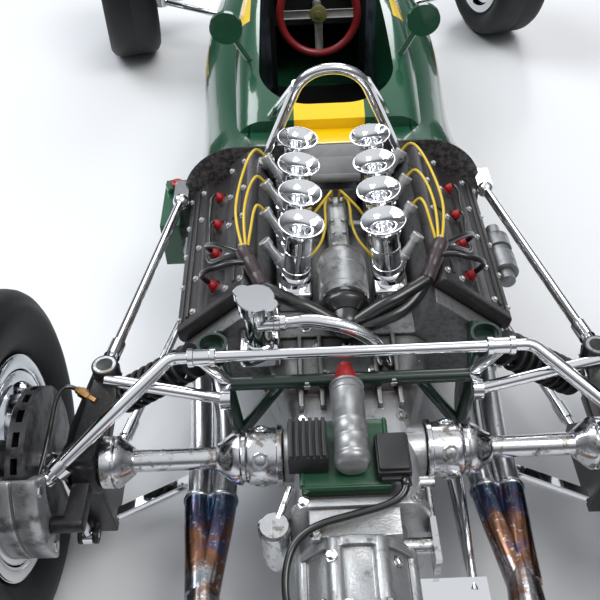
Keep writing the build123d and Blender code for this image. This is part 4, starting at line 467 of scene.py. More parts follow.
def present(pieces, name, finishName, smoothDeg=40.0, body="chassis", instead=None):
    # joins the pieces into a finished one, which rides on a body and may replace a CAD node
    pick(pieces[0])
    for piece in pieces:
        piece.select_set(True)
    if len(pieces) > 1:
        bpy.ops.object.join()
    piece = bpy.context.object
    bpy.ops.object.transform_apply(location=True, rotation=True, scale=True)
    piece.name = name
    piece.data.name = name
    wear(piece, finishName)
    bpy.ops.object.shade_smooth_by_angle(angle=math.radians(smoothDeg))
    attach(piece, body)
    if instead:
        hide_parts(instead)


def latheHere(profile, steps):
    # profile is (along, radius); the piece is turned about the X axis at the origin
    clearSelection()
    bpy.ops.mesh.primitive_plane_add(size=0.1 * mm, location=(0, 0, 0))
    startEdit()
    bpy.ops.mesh.merge(type="CENTER")
    bpy.ops.transform.translate(value=(profile[0][0] * mm, 0, profile[0][1] * mm))
    for (x0, r0), (x1, r1) in zip(profile, profile[1:]):
        bpy.ops.mesh.extrude_vertices_move(TRANSFORM_OT_translate={"value": ((x1 - x0) * mm, 0, (r1 - r0) * mm)})
    bpy.ops.mesh.select_all(action="SELECT")
    bpy.ops.mesh.spin(steps=steps, angle=2 * math.pi, center=(0, 0, 0), axis=(1, 0, 0))
    bpy.ops.mesh.select_all(action="SELECT")
    bpy.ops.mesh.remove_doubles(threshold=weldGap)
    endEdit()
    return bpy.context.object


def aim(piece, start, direction):
    # a piece made along X then starts at a point and runs along a direction
    turn = Vector((1, 0, 0)).rotation_difference(Vector(direction).normalized()).to_matrix().to_4x4()
    piece.matrix_world = Matrix.Translation(start) @ turn
    return piece


def turned(profile, steps, start, direction):
    return aim(latheHere(profile, steps), start, direction)


def fromBothEnds(near, far, long):
    # the far points are counted back from the end
    return list(near) + [(long - back, radius) for back, radius in far]


def copyOf(piece):
    twin = piece.copy()
    twin.data = piece.data.copy()
    bpy.context.scene.collection.objects.link(twin)
    return twin


def setOut(profile, steps, places):
    # one turned piece, copied to each place and direction
    master = latheHere(profile, steps)
    pieces = [aim(copyOf(master), start, direction) for start, direction in places]
    bpy.data.objects.remove(master)
    return pieces


def applied(piece, kind, settings):
    pick(piece)
    made = piece.modifiers.new(kind.title(), kind)
    for key, value in settings.items():
        setattr(made, key, value)
    bpy.ops.object.modifier_apply(modifier=made.name)


def blockHere(low, high, edge, segments=2):
    clearSelection()
    bpy.ops.mesh.primitive_cube_add(size=1, location=(low + high) / 2)
    piece = bpy.context.object
    piece.scale = high - low
    bpy.ops.object.transform_apply(location=True, rotation=True, scale=True)
    if edge:
        applied(piece, "BEVEL", {"width": edge * mm, "segments": segments, "limit_method": "ANGLE"})
    return piece


def blocksHere(rows, segments=2):
    return [blockHere(spot(*low), spot(*high), edge, segments) for low, high, edge in rows]


def routeHere(points, radius, sign=1, rounds=4, along=9, swell=None, capped=True):
    # a smooth tube through a route's points, made a mesh
    data = bpy.data.curves.new("route", "CURVE")
    data.dimensions = "3D"
    data.bevel_depth = radius * mm
    data.bevel_resolution = rounds
    data.resolution_u = along
    data.use_fill_caps = capped
    line = data.splines.new("NURBS")
    line.points.add(len(points) - 1)
    for point, place in zip(line.points, points):
        point.co = (*sideSpot(sign, place), 1.0)
    for point, share in zip(line.points, swell or ()):
        point.radius = share
    line.order_u = 3
    line.use_endpoint_u = True
    tube = bpy.data.objects.new("route", data)
    bpy.context.scene.collection.objects.link(tube)
    pick(tube)
    bpy.ops.object.convert(target="MESH")
    return bpy.context.object


tyres = {
    "rear": {"half": 13.5, "radius": 28.4, "seatHalf": 10.5, "middleX": 64.5},
    "front": {"half": 8.5, "radius": 25.4, "seatHalf": 6.0, "stub": 11.5, "kingpin": (52.0, 201.0, 0.0),
              "steerDeg": 13.0},
    "bead": 15.95, "lip": 17.8, "steps": 96,
}


def tyreProfile(size):
    half, radius, seat, lip = size["half"], size["radius"], size["seatHalf"], tyres["lip"]
    wall = radius - lip
    side = [
        (seat, tyres["bead"]), (seat, lip), (seat + 0.5, lip + 0.15), (half - 1.0, lip + 0.20 * wall),
        (half - 0.35, lip + 0.34 * wall), (half - 0.1, lip + 0.48 * wall), (half, lip + 0.56 * wall),
        (half - 0.12, lip + 0.66 * wall), (half - 0.5, lip + 0.76 * wall), (half - 0.62, lip + 0.77 * wall),
        (half - 1.0, lip + 0.86 * wall), (half - 1.7, radius - 0.62), (half - 2.5, radius - 0.2),
        (half - 3.6, radius - 0.04), (0.16, radius), (0.0, radius - 0.05),
    ]
    return side + [(-x, r) for x, r in reversed(side[:-1])] + [side[0]]


def makeTyres():
    rear, front = tyres["rear"], tyres["front"]
    turn = Matrix.Rotation(math.radians(front["steerDeg"]), 4, "Z")
    for side, sign in sides:
        piece = latheHere(tyreProfile(rear), tyres["steps"])
        piece.location = spot(sign * rear["middleX"], 0, rear["radius"])
        present([piece], "rear_tyre_vinyl_" + side, "tyreVinyl", body="rear_wheel_" + side,
                instead="rear_tyre_" + side)
        piece = latheHere(tyreProfile(front), tyres["steps"])
        stub = Matrix.Translation(Vector((sign * front["stub"], 0, front["radius"])) * mm)
        piece.matrix_world = Matrix.Translation(sideSpot(sign, front["kingpin"])) @ turn @ stub
        present([piece], "front_tyre_vinyl_" + side, "tyreVinyl", body="front_wheel_" + side,
                instead="front_tyre_" + side)


makeTyres()
print("tyres made")

trumpets = {
    "base": (8.4, 38.2), "top": (6.85, 50.7), "first": 30.9, "pitch": 8.667, "count": 4, "steps": 48,
    "barrel": ((-0.3, 0.0), (-0.3, 2.9), (1.3, 2.9), (1.6, 2.65), (1.75, 2.45), (2.5, 2.4), (2.55, 2.55),
               (3.0, 2.55), (3.05, 2.4), (6.6, 2.4), (6.65, 2.5), (6.95, 2.5), (7.0, 2.35)),
    "mouth": ((3.6, 2.35), (2.6, 2.42), (1.75, 2.6), (1.1, 2.98), (0.6, 3.5), (0.3, 3.78), (0.12, 3.9), (0.0, 3.84),
              (0.0, 3.7), (0.1, 3.5), (0.24, 3.1), (0.44, 2.65), (0.7, 2.2), (1.0, 1.85), (1.35, 1.6), (1.9, 1.42),
              (2.8, 1.3), (3.3, 1.0), (3.4, 0.0)),
    "studs": ((0.2, 0.52), (0.9, 0.62)), "studX": 11.0, "studAhead": 1.9,
    "railX": (5.4, 11.5), "railLow": 34.0, "railEdge": 0.6,
}
portY = [trumpets["first"] + index * trumpets["pitch"] for index in range(trumpets["count"])]


def makeTrumpets():
    size = trumpets
    (baseX, baseZ), (topX, topZ) = size["base"], size["top"]
    tall = math.hypot(topX - baseX, topZ - baseZ)
    profile = fromBothEnds(size["barrel"], size["mouth"], tall)
    built = setOut(profile, size["steps"], [
        (spot(sign * baseX, y, baseZ), (sign * (topX - baseX), 0, topZ - baseZ)) for sign in signs for y in portY])
    half = size["pitch"] / 2
    for sign in signs:
        for y in portY:
            for rise, radius in size["studs"]:
                clearSelection()
                bpy.ops.mesh.primitive_cylinder_add(
                    vertices=20, radius=radius * mm, depth=mm,
                    location=spot(sign * size["studX"], y + size["studAhead"], baseZ + rise))
                built.append(bpy.context.object)
        inner, outer = sorted(sign * x for x in size["railX"])
        built.append(blockHere(spot(inner, portY[0] - half, size["railLow"]), spot(outer, portY[-1] + half, baseZ),
                               size["railEdge"], 3))
    present(built, "inlet_trumpet_rows", "chromePlating", 35.0, instead="inlet_trumpets")


makeTrumpets()

nozzles = {"root": (9.5, 39.8), "reach": 4.0, "lean": 2.2, "rise": 5.6,
           "near": ((0.0, 0.0), (0.0, 0.85), (2.4, 0.85), (2.45, 1.05), (2.9, 1.05), (2.95, 0.85)),
           "far": ((1.35, 0.85), (1.3, 1.12), (0.1, 1.15), (0.0, 1.05), (0.0, 0.72), (1.3, 0.68), (1.3, 0.0))}


def makeNozzles():
    size = nozzles
    long = math.hypot(size["reach"], size["lean"], size["rise"])
    rootX, rootZ = size["root"]
    built = setOut(fromBothEnds(size["near"], size["far"], long), 24, [
        (spot(sign * rootX, y, rootZ), (sign * size["reach"], size["lean"], size["rise"]))
        for sign in signs for y in portY])
    present(built, "fuel_nozzles", "satinNickel", 35.0)


makeNozzles()
print("trumpets made")

# coil springs over their dampers
springs = {"top": (22.0, 13.2, 39.5), "foot": (42.0, 15.0, 24.4), "share": (0.2, 0.8), "coils": 8,
           "radius": 2.75, "wire": 0.42, "tube": 2.0,
           "eye": ((-0.8, 0.62), (-0.8, 1.5), (-0.6, 1.7), (0.6, 1.7), (0.8, 1.5), (0.8, 0.62), (-0.8, 0.62))}


def makeSprings():
    size = springs
    tube, wire = size["tube"], size["wire"]
    for side, sign in sides:
        top, foot = sideSpot(sign, size["top"]), sideSpot(sign, size["foot"])
        axis = foot - top
        long = axis.length / mm
        a, b = (share * long for share in size["share"])
        unit = turned(((0.6, 0.0), (0.6, 1.1), (a - 1.2, 1.1), (a - 1.2, 2.3), (a - 0.9, 3.0), (a - 0.2, 3.0),
                       (a, 2.6), (a, 1.2), (a + 3.0, 1.2), (a + 3.0, tube), (b, tube), (b, 2.7), (b + 0.25, 3.0),
                       (b + 0.9, 3.0), (b + 1.2, 2.4), (b + 2.0, 1.5), (long - 0.8, 1.1), (long - 0.8, 0.0)),
                      32, top, axis)
        eye = latheHere(size["eye"], 24)
        eye.location = foot
        present([unit, eye], "damper_" + side, "satinBlack", 35.0,
                instead="spring_dampers" if side == "left" else None)
        clearSelection()
        bpy.ops.mesh.primitive_circle_add(vertices=10, radius=wire * mm, location=(0, 0, 0),
                                          rotation=(math.pi / 2, 0, 0))
        coil = bpy.context.object
        bpy.ops.object.transform_apply(location=True, rotation=True, scale=True)
        startEdit()
        bpy.ops.transform.translate(value=(size["radius"] * mm, 0, (a + wire) * mm))
        bpy.ops.object.mode_set(mode="OBJECT")
        pitch = (b - a - 2 * wire) / size["coils"]
        applied(coil, "SCREW", {"axis": "Z", "screw_offset": pitch * mm, "iterations": size["coils"], "steps": 28,
                                "render_steps": 28, "use_normal_calculate": True})
        startEdit()
        bpy.ops.mesh.fill_holes(sides=12)
        endEdit()
        turn = Vector(upward).rotation_difference(axis.normalized()).to_matrix().to_4x4()
        coil.matrix_world = Matrix.Translation(top) @ turn
        present([coil], "coil_spring_" + side, "satinBlack", 60.0)


makeSprings()
print("springs made")

# ignition hoses with their leads, and fuel lines
ignition = {
    "sleeve": ((17.25, 31.5, 45.1), (13.8, 24.0, 42.9)),
    "sleeveNear": ((0.0, 0.0), (0.0, 1.05), (0.12, 1.3), (0.5, 1.4), (2.2, 1.36), (2.5, 1.28), (2.8, 1.38),
                   (5.6, 1.34), (5.9, 1.24), (6.2, 1.35)),
    "sleeveFar": ((0.5, 1.38), (0.1, 1.32), (0.0, 1.15), (0.0, 0.0)),
    "hoseRadius": 1.2,
    "upperHose": ((13.8, 24.0, 42.9), (9.6, 20.9, 42.6), (5.0, 19.2, 41.6), (0.6, 17.8, 38.9)),
    "lowerHose": ((14.9, 26.4, 43.6), (12.3, 21.4, 41.2), (6.4, 17.6, 40.0), (0.8, 17.6, 38.2)),
    "leadRadius": 0.48,
    "leads": (
        ((23.74, 30.9, 38.07), (24.9, 30.6, 39.5), (24.4, 28.6, 42.6), (21.6, 27.4, 44.6), (18.3, 28.1, 45.3),
         (15.9, 28.6, 44.25)),
        ((23.74, 39.57, 38.07), (24.7, 39.2, 39.5), (23.6, 36.9, 42.0), (20.8, 33.9, 43.9), (16.95, 30.6, 44.8)),
    ),
    "thinRadius": 0.28,
    "thinLeads": (
        ((23.74, 48.23, 38.07), (24.5, 47.2, 38.7), (24.4, 44.4, 36.9), (24.5, 39.6, 36.6), (23.4, 35.8, 38.7),
         (20.6, 33.0, 42.4), (17.5, 30.9, 44.5)),
        ((23.74, 56.9, 38.07), (24.6, 55.8, 38.7), (24.8, 52.6, 36.7), (24.9, 47.0, 36.5), (24.9, 39.4, 36.6),
         (23.6, 34.8, 38.9), (20.4, 32.2, 42.7), (17.3, 30.3, 44.4)),
    ),
    "bootAt": (0.0, 16.6, 38.55),
    "boot": ((0.0, 0.0), (0.0, 1.2), (0.2, 1.5), (0.9, 2.25), (1.4, 2.5), (2.4, 2.75), (3.2, 2.9), (3.2, 0.0)),
}


def makeHoses():
    size = ignition
    sleeves, built = [], []
    for sign in signs:
        start, end = (sideSpot(sign, point) for point in size["sleeve"])
        profile = fromBothEnds(size["sleeveNear"], size["sleeveFar"], (end - start).length / mm)
        sleeves.append(turned(profile, 32, start, end - start))
        built.append(routeHere(size["upperHose"], size["hoseRadius"], sign))
        built += [routeHere(lead, size["leadRadius"], sign) for lead in size["leads"]]
        built += [routeHere(lead, size["thinRadius"], sign, 3) for lead in size["thinLeads"]]
    built.append(routeHere(size["lowerHose"], size["hoseRadius"]))
    built.append(turned(size["boot"], 40, spot(*size["bootAt"]), forward))
    present(sleeves, "harness_sleeves", "sleeveBrown", 50.0)
    present(built, "ignition_hose_set", "hoseBlack", 50.0, instead="ignition_hoses")


makeHoses()

fuel = {
    "radius": 0.26,
    "routes": (
        ((12.8, 41.4, 44.4), (14.4, 42.3, 46.7), (15.2, 39.5, 47.5), (15.7, 36.1, 46.3), (16.55, 31.2, 44.35)),
        ((12.8, 50.1, 44.4), (14.4, 51.0, 46.7), (15.5, 48.4, 47.7), (16.7, 43.6, 47.4), (17.2, 37.2, 46.6),
         (16.6, 31.2, 45.2)),
        ((12.8, 58.8, 44.4), (14.4, 59.7, 46.7), (15.8, 57.2, 48.0), (17.2, 51.4, 48.0), (18.5, 43.3, 47.2),
         (18.5, 36.9, 46.6), (17.2, 31.2, 45.8)),
        ((1.4, 50.6, 40.0), (1.5, 50.2, 41.6), (2.4, 47.0, 42.3), (2.3, 41.4, 42.0), (3.2, 37.2, 41.2),
         (5.0, 35.0, 40.2), (6.2, 35.2, 38.2)),
        ((0.7, 52.0, 40.0), (0.7, 51.6, 42.0), (1.2, 48.8, 43.4), (2.9, 46.2, 43.0), (4.9, 44.6, 41.2),
         (6.2, 43.9, 38.2)),
    ),
}


def makeFuelLines():
    built = [routeHere(route, fuel["radius"], sign, 3) for route in fuel["routes"] for sign in signs]
    present(built, "fuel_line_set", "lineYellow", 50.0, instead="fuel_lines")


makeFuelLines()

plugBoots = {"rootX": 22.0715, "rootZ": 36.083, "outX": 0.643, "outZ": 0.766, "profile": (
    (0.0, 0.0), (0.0, 0.92), (0.25, 0.98), (1.1, 0.95), (1.2, 0.86), (1.4, 0.86), (1.5, 0.95), (1.75, 0.93),
    (2.1, 0.78), (2.5, 0.62), (2.6, 0.5), (2.6, 0.0))}


def makePlugBoots():
    size = plugBoots
    built = setOut(size["profile"], 24, [
        (spot(sign * size["rootX"], y, size["rootZ"]), (sign * size["outX"], 0, size["outZ"]))
        for sign in signs for y in portY])
    present(built, "plug_boots", "plugRed", instead="plug_caps")


makePlugBoots()
print("hoses, lines and boots made")

# coil on the gearbox
coilSet = {
    "at": (-0.9, -9.4, 38.1),
    "shell": ((0.0, 0.0), (0.0, 1.95), (0.15, 2.25), (0.45, 2.5), (0.75, 2.68), (1.0, 2.7), (1.15, 2.58),
              (1.3, 2.58), (1.45, 2.7), (1.8, 2.7), (1.95, 2.6), (4.2, 2.6), (4.35, 2.7), (4.6, 2.7), (4.75, 2.6),
              (7.0, 2.6), (7.15, 2.7), (7.5, 2.7), (7.65, 2.58), (13.2, 2.58), (13.3, 2.7), (13.7, 2.7),
              (13.8, 2.55), (14.5, 2.5), (14.6, 2.7), (15.0, 2.7), (15.2, 2.4), (15.2, 0.0)),
    "cap": ((15.15, 0.0), (15.15, 2.0), (15.4, 2.05), (16.2, 1.95), (17.6, 1.55), (18.4, 1.3), (18.5, 1.14),
            (19.2, 1.12), (19.35, 0.95), (19.4, 0.0)),
}


def makeCoil():
    size = coilSet
    shell = turned(size["shell"], 48, spot(*size["at"]), forward)
    present([shell], "coil_shell", "coilShell", instead="ignition_coil")
    cap = turned(size["cap"], 40, spot(*size["at"]), forward)
    present([cap], "coil_cap", "plugRed")


makeCoil()

tankCap = {"at": (-33.3, 69.3, 31.9), "profile": (
    (0.0, 0.0), (0.0, 1.2), (0.15, 1.3), (0.8, 1.3), (0.95, 1.15), (1.0, 0.75), (1.25, 0.6), (1.3, 0.0))}


def makeTankCap():
    cap = turned(tankCap["profile"], 32, spot(*tankCap["at"]), upward)
    present([cap], "tank_cap", "plugRed")


makeTankCap()

boxSet = {
    # blocks are one corner, the other corner and the rounding of the edges
    "blocks": (((-10.2, -8.5, 35.4), (-4.4, -1.5, 39.2), 0.25), ((2.6, -10.2, 35.4), (7.6, -3.2, 37.45), 0.3),
               ((2.85, -9.9, 37.25), (7.35, -3.5, 38.15), 0.3), ((3.1, -10.8, 35.9), (7.1, -9.9, 36.7), 0.2)),
    "fins": 6, "finX": (-10.2, -4.4), "finY": (-8.45, -1.55), "finZ": (35.8, 39.9), "finEdge": 0.14,
}


def makeBoxes():
    size = boxSet
    (x0, x1), (y0, y1), (z0, z1) = size["finX"], size["finY"], size["finZ"]
    pitch = (x1 - x0) / size["fins"]
    starts = [x0 + (index + 0.2) * pitch for index in range(size["fins"])]
    fins = [((x, y0, z0), (x + pitch * 0.6, y1, z1), size["finEdge"]) for x in starts]
    present(blocksHere(list(size["blocks"]) + fins), "ignition_box_set", "satinBlack", 30.0,
            instead="ignition_boxes")


makeBoxes()

trayPlate = {
    "blocks": (((-8.7, -10.6, 34.65), (5.0, 1.2, 35.4), 0.2), ((-8.4, -10.95, 33.3), (4.7, -10.35, 35.35), 0.2),
               ((-8.5, -10.6, 35.3), (-8.0, 1.2, 35.75), 0.15), ((4.3, -10.6, 35.3), (4.8, 1.2, 35.75), 0.15)),
    "posts": ((-5.0, -7.5), (3.2, -7.5), (-5.0, -1.0), (3.2, -1.0)), "postZ": 33.0,
    "post": ((-0.15, 0.0), (-0.15, 1.0), (0.3, 1.0), (0.4, 0.8), (1.75, 0.8), (1.75, 0.0)),
}


def makeTray():
    size = trayPlate
    posts = setOut(size["post"], 20, [(spot(x, y, size["postZ"]), upward) for x, y in size["posts"]])
    present(blocksHere(size["blocks"], 3) + posts, "electrics_plate", "trayGreen", 30.0,
            instead="electrics_tray")


makeTray()

pickup = {
    "radius": 0.58,
    "route": ((6.6, -10.6, 36.3), (6.7, -12.2, 36.1), (4.6, -13.9, 35.4), (-0.8, -14.9, 34.6), (-6.2, -16.0, 34.2),
              (-9.6, -17.8, 33.2), (-11.0, -21.2, 32.0), (-11.1, -25.2, 30.6), (-10.2, -27.8, 28.6),
              (-8.6, -28.2, 27.4)),
    "ferrule": ((-0.2, 0.0), (-0.2, 0.7), (-0.1, 0.8), (0.9, 0.8), (1.05, 0.7), (1.1, 0.5), (1.1, 0.0)),
}


def makePickupLead():
    first, second, *_, beforeLast, last = (spot(*point) for point in pickup["route"])
    ferrules = setOut(pickup["ferrule"], 20, [(first, second - first), (last, beforeLast - last)])
    lead = routeHere(pickup["route"], pickup["radius"], 1, 5)
    present([lead] + ferrules, "pickup_lead", "hoseBlack", 50.0)


makePickupLead()

# oil filler with its two-eared cap
filler = {
    "x": -14.6, "y": 16.6, "lidZ": 46.2, "lidRadius": 3.1, "earRadius": 1.5, "earX": 2.16, "earY": 1.62,
    "neckZ": 36.0,
    "neck": ((0.0, 0.0), (0.0, 2.2), (1.2, 2.2), (1.4, 2.5), (2.0, 2.5), (2.2, 2.2), (7.6, 2.2), (7.8, 2.35),
             (8.4, 2.35), (8.6, 2.6), (8.9, 2.9), (10.2, 2.9), (10.3, 2.8), (10.3, 0.0)),
    "outletAt": (-14.6, 15.6, 42.6),
    "outlet": ((0.0, 0.0), (0.0, 1.3), (2.6, 1.3), (2.7, 1.45), (3.5, 1.45), (3.6, 1.3), (4.5, 1.3), (4.6, 1.2),
               (4.6, 0.0)),
    "foot": (((-18.0, 14.4, 33.3), (-11.2, 20.4, 36.9), 0.5),),
}


def lidProfile(radius):
    return (0.0, 0.0), (0.0, radius), (1.25, radius), (1.4, radius - 0.15), (1.4, 0.0)


def makeFiller():
    size = filler
    x, y, lidZ = size["x"], size["y"], size["lidZ"]
    lid = turned(lidProfile(size["lidRadius"]), 64, spot(x, y, lidZ), upward)
    for sign in signs:
        place = spot(x + sign * size["earX"], y - sign * size["earY"], lidZ)
        ear = turned(lidProfile(size["earRadius"]), 32, place, upward)
        applied(lid, "BOOLEAN", {"operation": "UNION", "object": ear, "solver": "EXACT"})
        bpy.data.objects.remove(ear)
    neck = turned(size["neck"], 48, spot(x, y, size["neckZ"]), upward)
    outlet = turned(size["outlet"], 32, spot(*size["outletAt"]), (1, 0, 0))
    present([lid, neck, outlet] + blocksHere(size["foot"], 3), "oil_filler_neck", "chromePlating",
            35.0, instead="oil_filler")


makeFiller()
print("coil, boxes and filler made")

# distributor and fuel metering unit in the vee
valley = {
    "z": 38.55, "capY": 19.8, "unitY": 23.4,
    "cap": ((0.0, 0.0), (0.0, 3.1), (0.25, 3.35), (0.8, 3.9), (1.25, 4.35), (1.5, 4.5), (2.2, 4.5), (2.3, 4.35),
            (2.5, 4.35), (2.6, 4.5), (3.45, 4.5), (3.6, 4.4), (3.6, 0.0)),
    "unit": ((0.0, 0.0), (0.0, 4.4), (1.6, 4.4), (1.7, 4.28), (1.95, 4.28), (2.05, 4.38), (6.6, 4.38), (6.7, 4.3),
             (6.9, 4.3), (7.0, 4.38), (9.9, 4.38), (10.4, 4.3), (11.0, 4.0), (12.1, 3.45), (12.3, 3.3),
             (12.4, 0.0)),
    "blocks": (((-1.9, 32.4, 34.0), (1.9, 52.57, 39.4), 0.5), ((-1.6, 36.0, 39.0), (1.6, 52.2, 40.0), 0.35)),
    "shaftAt": (0, 48.23, 36.1),
    "shaft": ((-5.4, 0.0), (-5.4, 0.7), (-3.2, 0.7), (-3.1, 1.1), (-2.3, 1.1), (-2.2, 0.7), (2.2, 0.7), (2.3, 1.1),
              (3.1, 1.1), (3.2, 0.7), (5.4, 0.7), (5.4, 0.0)),
    "bolt": ((0.0, 0.0), (0.0, 0.42), (0.25, 0.42), (0.32, 0.3), (0.32, 0.0)),
    "boltX": 1.05, "boltY": (37.6, 41.0, 44.6, 50.6), "boltZ": 39.98,
}


def makeValley():
    size = valley
    cap = turned(size["cap"], 64, spot(0, size["capY"], size["z"]), forward)
    present([cap], "distributor_cap", "hoseBlack", instead="distributor")
    unit = turned(size["unit"], 64, spot(0, size["unitY"], size["z"]), forward)
    shaft = latheHere(size["shaft"], 24)
    shaft.location = spot(*size["shaftAt"])
    bolts = setOut(size["bolt"], 6, [
        (spot(sign * size["boltX"], y, size["boltZ"]), upward) for y in size["boltY"] for sign in signs])
    present([unit, shaft] + blocksHere(size["blocks"], 3) + bolts, "metering_unit_casing", "silverCasting",
            30.0, instead="fuel_metering_unit")


makeValley()

rounded = (
    # node, name, finish, slot, rounding of its edges
    ("cam_covers", "cam_cover_castings", "camCoverBlack", "dark_metal", 0.34),
    ("rear_uprights", "rear_upright_castings", "blackCasting", "cast_black", 0.22),
    ("rear_calipers", "rear_caliper_castings", "silverCasting", "silver_paint", 0.4),
    ("engine_block", "engine_castings", "engineCasting", "dark_metal", 0.2),
    ("gearbox", "gearbox_castings", "gearCasting", "silver_paint", 0.2),
)


def makeRounded():
    for node, name, finishName, slotName, edge in rounded:
        piece = copyOf(nodes[node])
        piece.parent = None
        piece.matrix_world = Matrix.Identity(4)
        piece.hide_render = False
        piece.hide_viewport = False
        pick(piece)
        startEdit()
        bpy.ops.mesh.remove_doubles(threshold=weldGap)
        bpy.ops.mesh.dissolve_limited(angle_limit=math.radians(2.0))
        bpy.ops.object.mode_set(mode="OBJECT")
        applied(piece, "BEVEL", {"width": edge * mm, "segments": 2, "limit_method": "ANGLE",
                                 "angle_limit": math.radians(38.0), "use_clamp_overlap": False})
        applied(piece, "TRIANGULATE", {})
        present([piece], name, finishName, 32.0, instead=node)


makeRounded()
print("castings rounded")

# bolts and raised strips on the cam covers
coverTrim = {
    "middle": (21.75, 35.7), "along": (0.7658, -0.6430), "out": (0.6430, 0.7658), "boltOut": 2.7,
    "boltRows": (-7.6, -4.1, 4.1, 7.6), "boltY": (26.6, 35.2, 43.9, 52.6, 61.4),
    "bolt": ((-0.2, 0.0), (-0.2, 0.62), (0.08, 0.62), (0.1, 0.42), (0.45, 0.42), (0.55, 0.3), (0.55, 0.0)),
    "stripLow": 2.4,
    # strips are place across the cover, start, end, width, height, rounding
    "strips": ((5.6, 26.0, 62.6, 0.8, 3.05, 0.28), (6.95, 26.0, 62.6, 0.4, 2.92, 0.16),
               (-5.9, 45.0, 59.5, 2.3, 2.95, 0.2), (-5.9, 27.0, 43.8, 0.805, 2.95, 0.2)),
}


def onCover(u, y, out, sign):
    size = coverTrim
    return spot(sign * (size["middle"][0] + u * size["along"][0] + out * size["out"][0]), y,
                size["middle"][1] + u * size["along"][1] + out * size["out"][1])


def makeCoverTrim():
    size = coverTrim
    outX, outZ = size["out"]
    bolts = setOut(size["bolt"], 12, [
        (onCover(u, y, size["boltOut"], sign), (sign * outX, 0, outZ))
        for sign in signs for u in size["boltRows"] for y in size["boltY"]])
    present(bolts, "cam_cover_bolts", "satinNickel", 30.0)
    strips = []
    for sign in signs:
        tilt = Matrix.Rotation(math.atan2(outX, outZ) * sign, 4, "Y")
        for u, y0, y1, wide, high, edge in size["strips"]:
            strip = blockHere(Vector((-wide / 2, y0, size["stripLow"])) * mm, Vector((wide / 2, y1, high)) * mm,
                              edge, 3)
            strip.matrix_world = Matrix.Translation(onCover(u, 0.0, 0.0, sign)) @ tilt
            strips.append(strip)
    present(strips, "cam_cover_ribs", "camCoverBlack", 30.0)


makeCoverTrim()
print("cover trim made")

# exhausts: two pipes run into a heat-stained collector and a long tail pipe
pipes = {
    "headY": (30.05, 38.72, 47.38, 56.05), "headRadius": 1.7,
    "head": ((25.0, 0.0, 26.4), (27.4, -0.3, 26.0), (29.0, -1.2, 23.6), (28.9, -2.6, 20.8), (28.2, -5.0, 19.0)),
    "collarX": 25.2, "collarZ": 26.4, "collarLean": (1.0, -0.1, -0.15),
    "collar": ((0.0, 0.0), (0.0, 2.3), (0.5, 2.35), (0.6, 2.2), (0.6, 0.0)),
    "pairRadius": 2.1,
    "pairs": (
        ((29.0, 54.3, 20.9), (28.4, 44.0, 19.2), (27.2, 28.0, 18.2), (26.0, 12.0, 17.6), (25.8, 4.0, 18.4),
         (25.6, -3.2, 19.4)),
        ((28.4, 36.0, 17.8), (25.2, 30.0, 16.9), (22.2, 20.0, 16.2), (21.5, 10.0, 16.9), (21.5, 4.0, 18.2),
         (21.6, -3.2, 19.3)),
    ),
    "coneRadius": 2.32, "coneShares": (1.0, 0.98, 0.96, 1.0),
    "cones": (
        ((25.7, -1.8, 19.2), (25.35, -7.0, 20.0), (24.7, -13.0, 20.9), (24.1, -20.0, 22.0)),
        ((21.6, -1.8, 19.1), (21.95, -7.0, 19.9), (22.7, -13.0, 20.8), (23.5, -20.0, 21.9)),
    ),
    "lip": ((-0.3, 1.9), (-0.3, 2.42), (-0.15, 2.5), (0.35, 2.5), (0.5, 2.4), (0.5, 1.9), (-0.3, 1.9)),
    "tail": ((23.8, -16.0, 21.3), (23.7, -21.0, 22.1), (22.6, -30.0, 23.8), (21.8, -44.0, 25.7),
             (21.1, -57.0, 27.2), (21.0, -61.8, 27.7)),
    "tailShares": (0.46, 0.5, 0.62, 0.84, 0.98, 1.0), "tailRadius": 5.0, "wall": 0.5,
}


def makePipes():
    size = pipes
    for side, sign in sides:
        leanX, leanY, leanZ = size["collarLean"]
        built = setOut(size["collar"], 24, [
            (spot(sign * size["collarX"], y, size["collarZ"]), (sign * leanX, leanY, leanZ))
            for y in size["headY"]])
        for head in size["headY"]:
            route = [(x, head + y, z) for x, y, z in size["head"]]
            built.append(routeHere(route, size["headRadius"], sign, 6))
        built += [routeHere(pair, size["pairRadius"], sign, 8) for pair in size["pairs"]]
        for cone in size["cones"]:
            built.append(routeHere(cone, size["coneRadius"], sign, 8, 9, size["coneShares"]))
            start, toward = (sideSpot(sign, point) for point in cone[:2])
            built.append(turned(size["lip"], 32, start, toward - start))
        tail = routeHere(size["tail"], size["tailRadius"], sign, 10, 9, size["tailShares"], False)
        applied(tail, "SOLIDIFY", {"thickness": size["wall"] * mm, "offset": -1.0})
        built.append(tail)
        for piece in built:
            pick(piece)
            startEdit()
            endEdit()   # faces outward
        present(built, "exhaust_pipes_" + side, "exhaustPlate", 45.0, instead="exhaust_" + side)


makePipes()
print("exhausts made")

# steering wheel on its column
wheel = {
    "centre": (0.0, 132.5, 40.0), "axis": (0.0, 0.976296, -0.21644), "rimMiddle": 10.25, "rimRadius": 1.05,
    "rimSides": 16,
    "spokeLow": (-0.35, -1.05, 1.6), "spokeHigh": (0.35, 1.05, 9.85), "spokeInset": 0.35, "spokeDepth": -0.18,
    "spokeEdge": 0.08, "spokeDeg": (90.0, 180.0, 270.0),
    "hub": ((-0.7, 0.0), (-0.7, 1.9), (-0.5, 2.3), (0.3, 2.3), (0.6, 1.7), (0.9, 1.0), (0.9, 0.0)),
    "boss": ((-1.1, 0.0), (-1.1, 0.9), (-1.0, 1.1), (-0.6, 1.1), (-0.6, 0.0)),
    "column": ((0.6, 0.0), (0.6, 1.0), (12.0, 1.0), (12.1, 1.25), (14.0, 1.25), (14.1, 1.0), (81.0, 1.0),
               (81.0, 0.0)),
}


